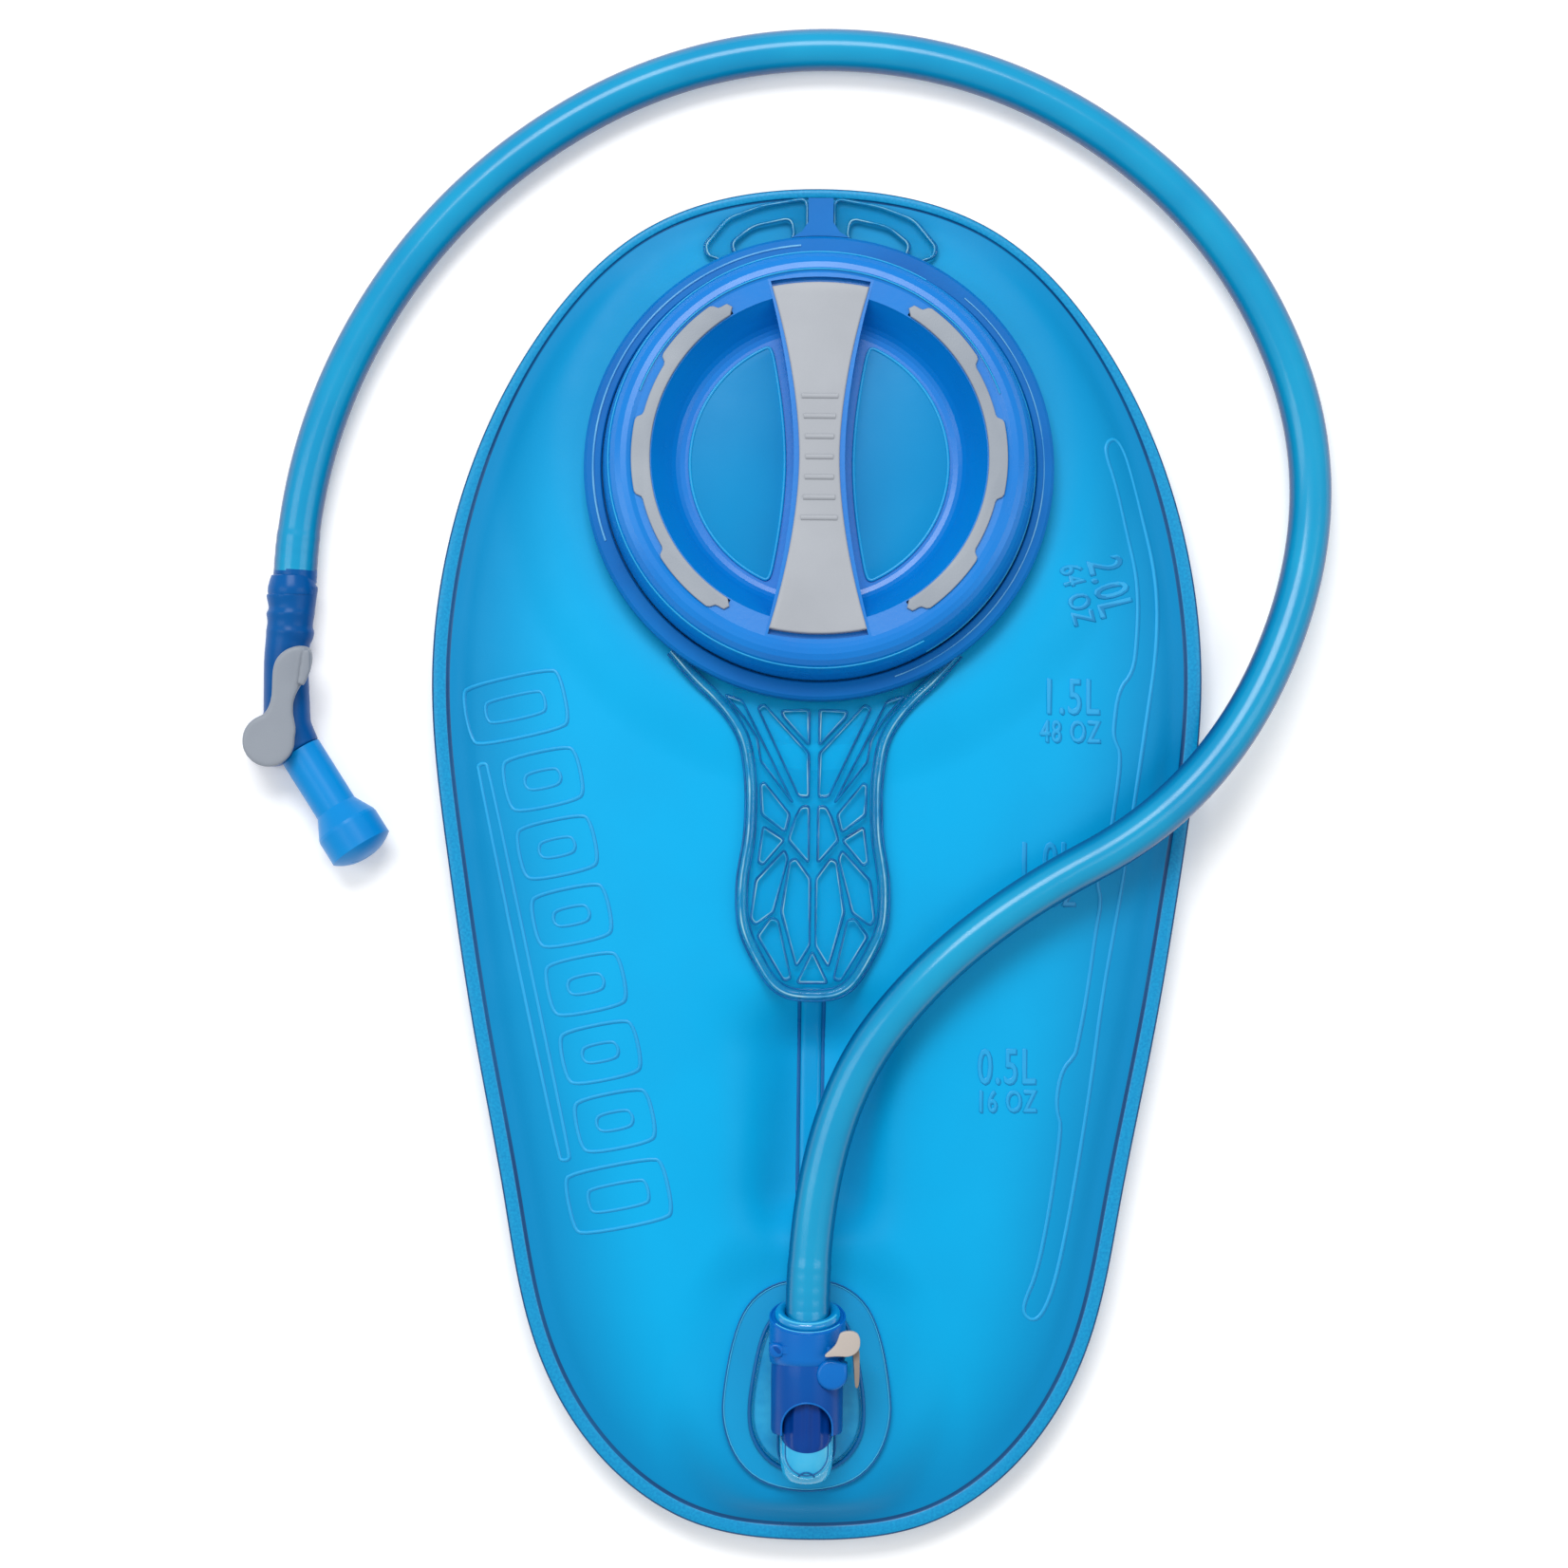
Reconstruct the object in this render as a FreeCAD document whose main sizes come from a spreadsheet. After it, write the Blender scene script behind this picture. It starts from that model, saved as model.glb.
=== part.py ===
import FreeCAD, Part
import math
import os

import Sketcher

V = FreeCAD.Vector
doc = FreeCAD.newDocument("hydration_bladder")

# ---------------------------------------------------------------- driving dimensions (mm, degrees)
DIMS = [
    ("film_thick", 1.0), ("seam_height", 9.0), ("band_width", 4.0), ("dome_rise", 14.0),
    ("port_pos_y", 97.0), ("port_pos_z", 17.5), ("port_tilt", 7.0),
    ("neck_bore_rad", 43.0), ("neck_root_rad", 46.5), ("neck_height", 13.5), ("flange_rad", 58.0),
    ("thread_lead", 12.0), ("thread_depth", 2.1), ("thread_starts", 3),
    ("ring_outer_rad", 57.7), ("ring_lip_rad", 52.1), ("ring_wall_rad", 53.4), ("ring_height", 7.0),
    ("skirt_rad", 53.0), ("skirt_bore_rad", 49.2), ("skirt_base", 2.0), ("crest_height", 19.8),
    ("well_floor", 10.2), ("well_rad", 33.6), ("arc_inner_rad", 41.2), ("arc_outer_rad", 44.0),
    ("nub_outer_rad", 45.6), ("insert_seat", 17.6),
    ("bar_half_length", 43.5), ("bar_waist_half", 6.2), ("bar_end_half", 13.6), ("bar_rim", 1.4),
    ("strap_width", 6.2), ("handle_base", 24.6), ("handle_plate", 1.2), ("handle_rib", 1.3),
    ("exit_pos_x", -1.0), ("exit_axis_z", 29.5), ("exit_face_z", 17.5),
    ("socket_rad", 6.4), ("socket_bore_rad", 5.2), ("nose_rad", 5.1), ("nose_bore_rad", 3.0),
    ("barrel_rad", 8.7), ("barrel_bore_rad", 6.6), ("shoulder_rad", 9.2),
    ("tube_rad", 5.25), ("tube_bore_rad", 3.5),
    ("valve_pos_x", -135.4), ("valve_pos_y", 29.5), ("plug_rad", 4.6), ("valve_body_rad", 6.4),
    ("sleeve_rad", 5.4), ("sleeve_mouth_rad", 8.1), ("sleeve_length", 32.0), ("sleeve_turn", -57.0),
]
sheet = doc.addObject("Spreadsheet::Sheet", "dims")
for row, (alias, value) in enumerate(DIMS, start=1):
    cell = "B%d" % row
    sheet.set("A%d" % row, alias)
    sheet.set(cell, str(value))
    sheet.setAlias(cell, alias)
doc.recompute()


def dim(alias):
    """The number a sheet cell holds."""
    return float(sheet.get(alias))


class Bound:
    """A size made of one sheet cell, a factor and an offset, with its value and its expression."""

    def __init__(self, alias, plus=0.0, times=1.0):
        self.value = dim(alias) * times + plus
        self.text = "dims.%s * %.6f + %.6f" % (alias, times, plus)


def number(item):
    return item.value if isinstance(item, Bound) else float(item)


def bind(obj, prop, item):
    """Set a property, and tie it to the sheet when the size comes from there."""
    setattr(obj, prop, number(item))
    if isinstance(item, Bound):
        obj.setExpression(prop, item.text)


PORT = FreeCAD.Placement(V(0, dim("port_pos_y"), dim("port_pos_z")),
                         FreeCAD.Rotation(V(1, 0, 0), -dim("port_tilt")))
EXIT = FreeCAD.Placement(V(dim("exit_pos_x"), 0, 0), FreeCAD.Rotation())
EXIT_AXIS = FreeCAD.Placement(V(dim("exit_pos_x"), 0, dim("exit_axis_z")),
                              FreeCAD.Rotation(V(1, 0, 0), -90))
FLAT = FreeCAD.Placement()
parts = {}


# ---------------------------------------------------------------- helpers: sketches and bodies
def origin_plane(body, role):
    for item in body.Origin.OriginFeatures:
        if item.Role == role:
            return item
    raise RuntimeError("no plane " + role)


def tie_vertex(sketch, geo, point):
    """Hold the start of one sketch line at a sheet-driven place."""
    for axis, item in enumerate(point):
        if not isinstance(item, Bound):
            continue
        kind = ("DistanceX", "DistanceY")[axis]
        index = sketch.addConstraint(Sketcher.Constraint(kind, -1, 1, geo, 1, item.value))
        sketch.setExpression("Constraints[%d]" % index, item.text)


def closed_sketch(body, name, points, role="XY_Plane"):
    """A closed polygon sketch whose corners follow the sheet."""
    sketch = body.newObject("Sketcher::SketchObject", name)
    sketch.AttachmentSupport = [(origin_plane(body, role), "")]
    sketch.MapMode = "FlatFace"
    count = len(points)
    for index in range(count):
        start = points[index]
        end = points[(index + 1) % count]
        sketch.addGeometry(Part.LineSegment(V(number(start[0]), number(start[1]), 0),
                                            V(number(end[0]), number(end[1]), 0)), False)
    for index in range(count):
        sketch.addConstraint(Sketcher.Constraint("Coincident", index, 2, (index + 1) % count, 1))
    for index, point in enumerate(points):
        tie_vertex(sketch, index, point)
    return sketch


def turned(name, points, placement=FLAT):
    """A PartDesign body turned about its own Z axis from (radius, height) corners."""
    body = doc.addObject("PartDesign::Body", name)
    sketch = closed_sketch(body, name + "_profile", points, "XZ_Plane")
    turn = body.newObject("PartDesign::Revolution", name + "_turn")
    turn.Profile = sketch
    turn.ReferenceAxis = (sketch, ["V_Axis"])
    turn.Angle = 360
    sketch.Visibility = False
    body.Placement = placement
    return body


def padded(name, points, base, height, placement=FLAT):
    """A PartDesign body padded up from a polygon."""
    body = doc.addObject("PartDesign::Body", name)
    sketch = closed_sketch(body, name + "_outline", points)
    pad = body.newObject("PartDesign::Pad", name + "_pad")
    pad.Profile = sketch
    bind(pad, "Length", height)
    sketch.Visibility = False
    body.Placement = placement.multiply(FreeCAD.Placement(V(0, 0, number(base)), FreeCAD.Rotation()))
    return body


def cylinder(name, radius, height, base=V(0, 0, 0), rotation=None, placement=FLAT):
    obj = doc.addObject("Part::Cylinder", name)
    bind(obj, "Radius", radius)
    bind(obj, "Height", height)
    obj.Placement = placement.multiply(FreeCAD.Placement(base, rotation or FreeCAD.Rotation()))
    return obj


def box(name, size, corner, placement=FLAT):
    obj = doc.addObject("Part::Box", name)
    bind(obj, "Length", size[0])
    bind(obj, "Width", size[1])
    bind(obj, "Height", size[2])
    obj.Placement = placement.multiply(FreeCAD.Placement(corner, FreeCAD.Rotation()))
    return obj


def shaped(name, shape, placement=FLAT):
    """A feature whose shape is made here with Part's own functions."""
    obj = doc.addObject("Part::Feature", name)
    own = FreeCAD.Placement(shape.Placement)
    obj.Shape = shape
    obj.Placement = placement.multiply(own)
    return obj


def fused(name, items):
    obj = doc.addObject("Part::MultiFuse", name)
    obj.Shapes = items
    return obj


def cut(name, base, tools):
    tool = tools[0] if len(tools) == 1 else fused(name + "_tools", tools)
    obj = doc.addObject("Part::Cut", name)
    obj.Base = base
    obj.Tool = tool
    return obj


def node(name, obj):
    obj.Label = name
    parts[name] = obj
    return obj


# ---------------------------------------------------------------- helpers: curves and solids
def spline(points, closed=True):
    curve = Part.BSplineCurve()
    curve.interpolate([V(*p) for p in points], PeriodicFlag=closed)
    return curve


def face_of(curve):
    return Part.Face(Part.Wire([curve.toShape()]))


def prism(curve, low, high):
    face = face_of(curve)
    face.translate(V(0, 0, low))
    return face.extrude(V(0, 0, high - low))


def mirrored(points):
    """The points of the right half, closed by their mirror images; first and last lie on the axis."""
    left = [(-x, y, z) for x, y, z in points[1:-1]]
    return points + left[::-1]


def polygon(points, low, high):
    wire = Part.makePolygon([V(x, y, low) for x, y in points + points[:1]])
    return Part.Face(wire).extrude(V(0, 0, high - low))


# ---------------------------------------------------------------- the bag: outline and film surfaces
SEAM = dim("seam_height")
FILM = dim("film_thick")
SEAM_LAP = 0.15                      # each film reaches this far past the seam, and is trimmed to it

# right half of the egg outline, from the top middle round to the bottom middle
EGG = [(0.0, 167.5), (43.1, 157.4), (70.8, 129.2), (90.9, 82.1), (95.4, 47.0), (91.3, 2.0),
       (84.7, -40.0), (76.6, -82.6), (68.2, -120.2), (50.9, -148.5), (29.5, -163.2), (0.0, -167.5)]
outline = spline(mirrored([(x, y, 0.0) for x, y in EGG]))


def half_width_table():
    """Half-width of the bag against Y, read off the outline curve."""
    rows = []
    first, last = outline.FirstParameter, outline.LastParameter
    for step in range(1201):
        p = outline.value(first + (last - first) * step / 1200.0)
        if p.x >= 0.0:
            rows.append((p.y, p.x))
    return sorted(rows)


WIDTHS = half_width_table()


def half_width(y):
    if y <= WIDTHS[0][0] or y >= WIDTHS[-1][0]:
        return 0.0
    low, high = 0, len(WIDTHS) - 1
    while high - low > 1:
        mid = (low + high) // 2
        if WIDTHS[mid][0] <= y:
            low = mid
        else:
            high = mid
    (y0, w0), (y1, w1) = WIDTHS[low], WIDTHS[high]
    return w0 if y1 == y0 else w0 + (w1 - w0) * (y - y0) / (y1 - y0)


def smooth(t):
    t = max(0.0, min(1.0, t))
    return t * t * (3.0 - 2.0 * t)


def pillow(x, y):
    """0 at the weld, near 1 over the middle of the bag."""
    band = dim("band_width")
    width = half_width(y * 167.5 / (167.5 - band)) - band
    if width <= 0.5 or abs(x) >= width:
        return 0.0
    across = 1.0 - (abs(x) / width) ** 2.4
    if y > 47.0:
        along = 1.0 - ((y - 47.0) / 116.5) ** 3
    else:
        along = 1.0 - ((47.0 - y) / 210.5) ** 4
    return max(0.0, across * along)


def valley(x, y):
    """1 away from the centre weld, 0 on it."""
    reach = smooth((y + 104.0) / 24.0) * smooth((-26.0 - y) / 20.0)
    return 1.0 - reach * math.exp(-(x / 15.0) ** 2)


def edge_fade(x, y):
    """0 on the weld band, 1 a little way inside it."""
    band = dim("band_width")
    width = half_width(y) - band
    gap = min(width - abs(x), 163.5 - abs(y))
    return smooth(gap / 7.0)


def front_height(x, y):
    """Outer face of the front film."""
    base = SEAM + FILM - SEAM_LAP
    dome = base + dim("dome_rise") * pillow(x, y) * valley(x, y)
    slope = math.tan(math.radians(dim("port_tilt")))
    plane = dim("port_pos_z") - slope * (y - dim("port_pos_y"))
    from_port = math.hypot(x, y - dim("port_pos_y"))
    near_port = 1.0 - smooth((from_port - 60.0) / 20.0)
    height = plane * near_port + dome * (1.0 - near_port)
    from_exit = math.hypot((x - dim("exit_pos_x")) / 23.5, (y + 128.0) / 28.5)
    near_exit = 1.0 - smooth((from_exit - 1.0) / 0.55)
    height = dim("exit_face_z") * near_exit + height * (1.0 - near_exit)
    return base + (height - base) * edge_fade(x, y)


def back_height(x, y):
    """Outer (lower) face of the back film; the middle dips under zero and is cut flat there."""
    full = SEAM - FILM + SEAM_LAP
    fill = smooth(1.75 * pillow(x, y)) * valley(x, y)
    return full - (full + 0.35) * fill


def height_field(func, low_z, high_z):
    """The solid between the surface raised by low_z and the same surface raised by high_z."""
    xs = [-100.0 + 5.0 * i for i in range(41)]
    ys = [-172.5 + 5.0 * j for j in range(70)]
    grid = [[V(x, y, func(x, y) + low_z) for y in ys] for x in xs]
    surface = Part.BSplineSurface()
    surface.interpolate(grid)
    return surface.toShape().extrude(V(0, 0, high_z - low_z))


above_seam = prism(outline, SEAM, 60.0)
below_seam = prism(outline, 0.0, SEAM)
mouth_hole = Part.makeCylinder(dim("neck_root_rad") + 0.1, 60.0, V(0, 0, -30))
mouth_hole.Placement = PORT
drain_hole = Part.makeCylinder(3.4, 40.0, V(dim("exit_pos_x"), -146.8, 0))

front = height_field(front_height, -FILM, 0.0).common(above_seam).cut(mouth_hole).cut(drain_hole)
node("front_film", shaped("front_sheet", front))

back = height_field(back_height, 0.0, FILM).common(below_seam)
node("back_film", shaped("back_sheet", back))


# ---------------------------------------------------------------- screw thread segments
def ridge(root, crest, half_axial, turn_start, turn_span, z_start):
    """One helical ridge segment between two radii, following the thread lead, ends tapered off."""
    lead = dim("thread_lead")
    steps = 8
    sections = []
    for step in range(steps + 1):
        share = step / steps
        angle = math.radians(turn_start + turn_span * share)
        fade = min(1.0, 0.25 + 4.0 * min(share, 1.0 - share))
        tip = root + (crest - root) * fade
        z = z_start + lead * (turn_span * share) / 360.0
        half = half_axial * (0.6 + 0.4 * fade)
        corners = [(root, z - half), (tip, z - 0.45 * half), (tip, z + 0.45 * half), (root, z + half)]
        pts = [V(r * math.cos(angle), r * math.sin(angle), h) for r, h in corners]
        sections.append(Part.makePolygon(pts + pts[:1]))
    return Part.makeLoft(sections, True, False)


def thread_set(root, crest, half_axial, span, z_start, angle_start):
    starts = int(dim("thread_starts"))
    return [ridge(root, crest, half_axial, angle_start + 360.0 * k / starts, span, z_start)
            for k in range(starts)]


# ---------------------------------------------------------------- fill port: collar, tether, cap
def port_collar():
    root = dim("neck_root_rad")
    profile = [
        (Bound("neck_bore_rad"), -3.0), (Bound("flange_rad"), -3.0), (Bound("flange_rad"), -1.02),
        (Bound("neck_root_rad"), -1.02), (Bound("neck_root_rad"), Bound("neck_height", -1.0)),
        (Bound("neck_root_rad", -0.8), Bound("neck_height")),
        (Bound("neck_bore_rad", 0.8), Bound("neck_height")),
        (Bound("neck_bore_rad"), Bound("neck_height", -1.0)),
    ]
    neck = turned("neck_turned", profile, PORT)
    ridges = thread_set(root - 0.3, root + dim("thread_depth"), 0.75, 95.0, 7.4, 10.0)
    ridge_objs = [shaped("neck_ridge_%d" % k, shape, PORT) for k, shape in enumerate(ridges)]
    node("port_collar", fused("collar_fused", [neck] + ridge_objs))


def tether_ring():
    lip = Bound("ring_lip_rad")
    wall = Bound("ring_wall_rad")
    outer = Bound("ring_outer_rad")
    profile = [
        (wall, 2.0), (Bound("ring_outer_rad", -0.7), 2.0), (outer, 2.7), (outer, 3.9),
        (Bound("ring_outer_rad", -0.5), 4.2), (Bound("ring_outer_rad", -0.5), 4.8), (outer, 5.1),
        (outer, 6.3), (Bound("ring_outer_rad", -0.7), Bound("ring_height")),
        (Bound("ring_wall_rad", 0.3), Bound("ring_height")), (wall, 6.7), (wall, 5.0), (lip, 5.0),
        (lip, 3.8), (wall, 3.8),
    ]
    node("tether_ring", turned("ring_turned", profile, PORT))


def tether_strap():
    """T strap from the bag's top seam down to the ring, sloping with the port."""
    half = dim("strap_width") / 2.0
    pts = [(-half, 67.6), (half, 67.6), (half, 61.5), (4.6, 59.2), (8.8, 56.6), (0.0, 55.0),
           (-8.8, 56.6), (-4.6, 59.2), (-half, 61.5)]
    body = padded("strap_body", pts, 3.3, 2.0, PORT)
    ring_room = cylinder("strap_ring_room", Bound("ring_outer_rad", 0.35), 20.0, V(0, 0, -5), None, PORT)
    node("tether_strap", cut("strap_cut", body, [ring_room]))


def waist_points(inset, count=8):
    """Right side of the bow-tie bar, bottom to top; the sides curve in to the waist."""
    length = dim("bar_half_length")
    waist = dim("bar_waist_half") - inset
    end = dim("bar_end_half") - inset
    points = []
    for k in range(-count, count + 1):
        share = k / count
        points.append((waist + (end - waist) * abs(share) ** 1.8, length * share))
    return points


def bar_outline(inset, stretch):
    right = [(x, y * stretch) for x, y in waist_points(inset)]
    left = [(-x, y) for x, y in right]
    curve_r = spline([(x, y, 0) for x, y in right], False).toShape()
    curve_l = spline([(x, y, 0) for x, y in left], False).toShape()
    bulge = 1.2
    top = Part.Arc(V(left[-1][0], left[-1][1], 0), V(0, right[-1][1] + bulge, 0),
                   V(right[-1][0], right[-1][1], 0)).toShape()
    low = Part.Arc(V(left[0][0], left[0][1], 0), V(0, right[0][1] - bulge, 0),
                   V(right[0][0], right[0][1], 0)).toShape()
    return Part.Face(Part.Wire(Part.__sortEdges__([curve_r, top, curve_l, low])))


def sector(inner, outer, start, end, low, high):
    """A curved strip between two radii and two angles."""
    ring = Part.makeCylinder(outer, high - low, V(0, 0, low), V(0, 0, 1), end - start)
    ring.rotate(V(0, 0, 0), V(0, 0, 1), start)
    return ring.cut(Part.makeCylinder(inner, high - low + 2, V(0, 0, low - 1)))


def grip_arc(low, high, grow):
    """Left-hand grip strip with its three nubs; grow widens it for the seat in the cap."""
    inner = dim("arc_inner_rad") - grow
    outer = dim("arc_outer_rad") + grow
    nub = dim("nub_outer_rad") + grow
    more = math.degrees(grow / 43.0)
    strip = sector(inner, outer, 121.0 - more, 239.0 + more, low, high)
    for start, end in ((126.0, 147.0), (168.5, 191.5), (213.0, 234.0)):
        strip = strip.fuse(sector(inner, nub, start - more, end + more, low, high))
    return strip.removeSplitter()


def cap_shell():
    seat = dim("insert_seat")
    shell_profile = [
        (Bound("skirt_bore_rad"), Bound("skirt_base")), (Bound("skirt_rad"), Bound("skirt_base")),
        (Bound("skirt_rad"), Bound("skirt_base", 1.5)),
        (Bound("skirt_rad", -1.3), Bound("skirt_base", 1.5)),
        (Bound("skirt_rad", -1.3), Bound("skirt_base", 3.3)),
        (Bound("skirt_rad"), Bound("skirt_base", 3.3)), (Bound("skirt_rad"), 8.0),
        (52.4, 13.0), (51.7, 16.0), (50.9, 17.8), (49.8, 19.0), (48.4, Bound("crest_height", -0.15)),
        (47.0, Bound("crest_height", -0.05)), (45.8, 19.3), (40.9, 19.1), (40.4, 18.3),
        (37.9, 14.6), (36.0, 12.0), (35.0, 11.0), (Bound("well_rad", 0.4), 10.4),
        (Bound("well_rad", -0.8), Bound("well_floor")), (0.0, Bound("well_floor")),
        (0.0, Bound("well_floor", -1.8)), (36.4, Bound("well_floor", -1.8)), (37.6, 9.2),
        (41.4, 15.0), (Bound("skirt_bore_rad"), 15.0),
    ]
    shell = turned("cap_turned", shell_profile, PORT)
    bar_shape = bar_outline(0.0, 1.06).extrude(V(0, 0, 10.0))
    bar_shape.translate(V(0, 0, 9.3))
    inside_neck = Part.makeCone(37.7, 41.4, 5.85, V(0, 0, 9.2))
    bar_shape = bar_shape.common(inside_neck.fuse(Part.makeCylinder(47.5, 20.0, V(0, 0, 15.02))))
    bar = shaped("cap_bar", bar_shape, PORT)
    root = dim("skirt_bore_rad")
    ridges = thread_set(root + 0.3, root - dim("thread_depth"), 0.75, 95.0, 5.4, 10.0)
    ridge_objs = [shaped("cap_ridge_%d" % k, shape, PORT) for k, shape in enumerate(ridges)]
    whole = fused("cap_whole", [shell, bar] + ridge_objs)
    bar_seat_shape = bar_outline(dim("bar_rim"), 1.0).extrude(V(0, 0, 5.0))
    bar_seat_shape.translate(V(0, 0, seat))
    bar_seat = shaped("bar_seat", bar_seat_shape, PORT)
    left_shape = grip_arc(seat, seat + 5.0, 0.0)
    left_seat = shaped("arc_seat_left", left_shape, PORT)
    right_seat = shaped("arc_seat_right", turned_about_z(left_shape, 180.0), PORT)
    node("cap_shell", cut("cap_cut", whole, [bar_seat, left_seat, right_seat]))


def turned_about_z(shape, angle):
    copy = shape.copy()
    copy.rotate(V(0, 0, 0), V(0, 0, 1), angle)
    return copy


def cap_inserts():
    seat = dim("insert_seat")
    body = bar_outline(dim("bar_rim") + 0.05, 0.999).extrude(V(0, 0, 2.1))
    body.translate(V(0, 0, seat))
    for k in range(-3, 4):
        groove = Part.makeBox(40.0, 1.2, 2.0, V(-20.0, 5.0 * k - 0.6, seat + 1.6))
        body = body.cut(groove)
    node("grip_bar_insert", shaped("bar_insert", body, PORT))
    left = grip_arc(seat, seat + 2.0, -0.05)
    node("grip_arc_left", shaped("arc_left", left, PORT))
    node("grip_arc_right", shaped("arc_right", turned_about_z(left, 180.0), PORT))


def cap_gasket():
    profile = [
        (Bound("neck_bore_rad", 0.3), 13.8), (Bound("neck_root_rad", 0.2), 13.8),
        (Bound("neck_root_rad", 0.2), 15.0), (Bound("neck_bore_rad", 0.3), 15.0),
    ]
    node("cap_gasket", turned("gasket_turned", profile, PORT))


port_collar()
tether_ring()
tether_strap()
cap_shell()
cap_inserts()
cap_gasket()


# ---------------------------------------------------------------- clear handle frame
def strut(a, b, width, low, high):
    """A bar with round ends between two plan points."""
    dx, dy = b[0] - a[0], b[1] - a[1]
    length = math.hypot(dx, dy)
    nx, ny = -dy / length * width / 2.0, dx / length * width / 2.0
    body = polygon([(a[0] + nx, a[1] + ny), (b[0] + nx, b[1] + ny),
                    (b[0] - nx, b[1] - ny), (a[0] - nx, a[1] - ny)], low, high)
    end_a = Part.makeCylinder(width / 2.0, high - low, V(a[0], a[1], low))
    end_b = Part.makeCylinder(width / 2.0, high - low, V(b[0], b[1], low))
    return body.fuse([end_a, end_b])


WEB_EDGE = [(0.0, 50.0), (20.1, 38.8), (16.5, 31.6), (15.2, 18.0), (16.0, 4.6), (18.0, -9.0),
            (15.8, -19.5), (10.5, -28.4), (0.0, -32.1)]
WEB_RIBS = [((0, 38), (0, 28)), ((0, 38), (8, 38.3)), ((0, 28), (13, 39.4)), ((0, 28), (0, 16)),
            ((0, 16), (5, 16)), ((5, 16), (6.3, 6.4)), ((6.3, 6.4), (0.6, 0.4)),
            ((5, 16), (13, 20.8)), ((13, 20.8), (13, 12.4)), ((13, 12.4), (7, 8.2)),
            ((13, 10), (13, 0.4)), ((13, 0.4), (7.5, 6.4)), ((0, 0), (0, -19.4)),
            ((6, 0), (8.2, -13.4)), ((8.2, -13.4), (4.5, -24.8)), ((8, 0), (11, -11.6)),
            ((11, -11.6), (14.5, -14)), ((14.5, -14), (15.5, -2)), ((14, -16.4), (9.8, -12.8)),
            ((9.8, -12.8), (6.3, -27.8)), ((0, -19.4), (4.6, -29))]


def handle_frame():
    low = dim("handle_base")
    mid = low + dim("handle_plate")
    high = mid + dim("handle_rib")
    web_curve = spline(mirrored([(x, y, 0.0) for x, y in WEB_EDGE]))
    plate = prism(web_curve, low, mid)
    rib_room = prism(web_curve, low, high)
    ribs = []
    for a, b in WEB_RIBS:
        ribs.append(strut(a, b, 1.5, low + 0.4, high))
        if a[0] != 0 or b[0] != 0:
            ribs.append(strut((-a[0], a[1]), (-b[0], b[1]), 1.5, low + 0.4, high))
    rib_set = ribs[0].fuse(ribs[1:]).common(rib_room)
    web = plate.fuse(rib_set)
    foot = Part.makeCylinder(5.0, low + 0.3 - 21.5, V(0, -26.0, 21.5))
    ring_plate = Part.makeCylinder(56.0, 1.4, V(0, 0, 0.15))
    ring_plate = ring_plate.cut(Part.makeCylinder(dim("neck_root_rad") + 0.1, 4.0, V(0, 0, -1)))
    ring_plate.Placement = PORT
    hole = Part.makeCylinder(dim("neck_root_rad") + 4.0, 60.0, V(0, 0, -20))
    hole.Placement = PORT
    swing_room = Part.makeCylinder(dim("ring_outer_rad") + 0.6, 60.0, V(0, 0, 1.65))
    swing_room.Placement = PORT
    web = web.cut(hole).cut(swing_room)
    wing = wing_shape()
    wings = wing.fuse(wing.mirror(V(0, 0, 0), V(1, 0, 0)))
    wings.Placement = PORT
    wings = wings.cut(hole).cut(swing_room)
    front_clear = height_field(front_height, -FILM - 1.0, 0.05)
    whole = ring_plate.fuse([web.cut(front_clear), wings.cut(front_clear)])
    foot = foot.cut(front_clear)
    foot = max(foot.Solids, key=lambda s: s.BoundBox.ZMax)
    whole = whole.fuse(foot).removeSplitter()
    node("handle_frame", shaped("handle_shape", whole))


def wing_shape():
    """Left hanging loop in the port's own frame: a flat wing with a finger-wide slot."""
    outer = [(0.0, 68.7), (-3.5, 68.4), (-14.6, 66.4), (-23.0, 63.2), (-28.6, 56.0),
             (-27.9, 53.3), (-25.3, 52.6), (-22.0, 49.4), (0.0, 53.4)]
    slot = [(-22.4, 56.8), (-16.8, 61.3), (-7.0, 63.5), (-6.2, 56.0), (-14.0, 55.0),
            (-21.5, 52.0)]
    plate = polygon(outer, 0.6, 1.9)
    opening = polygon(slot, -5.0, 10.0)
    return plate.cut(opening)


handle_frame()


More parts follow.
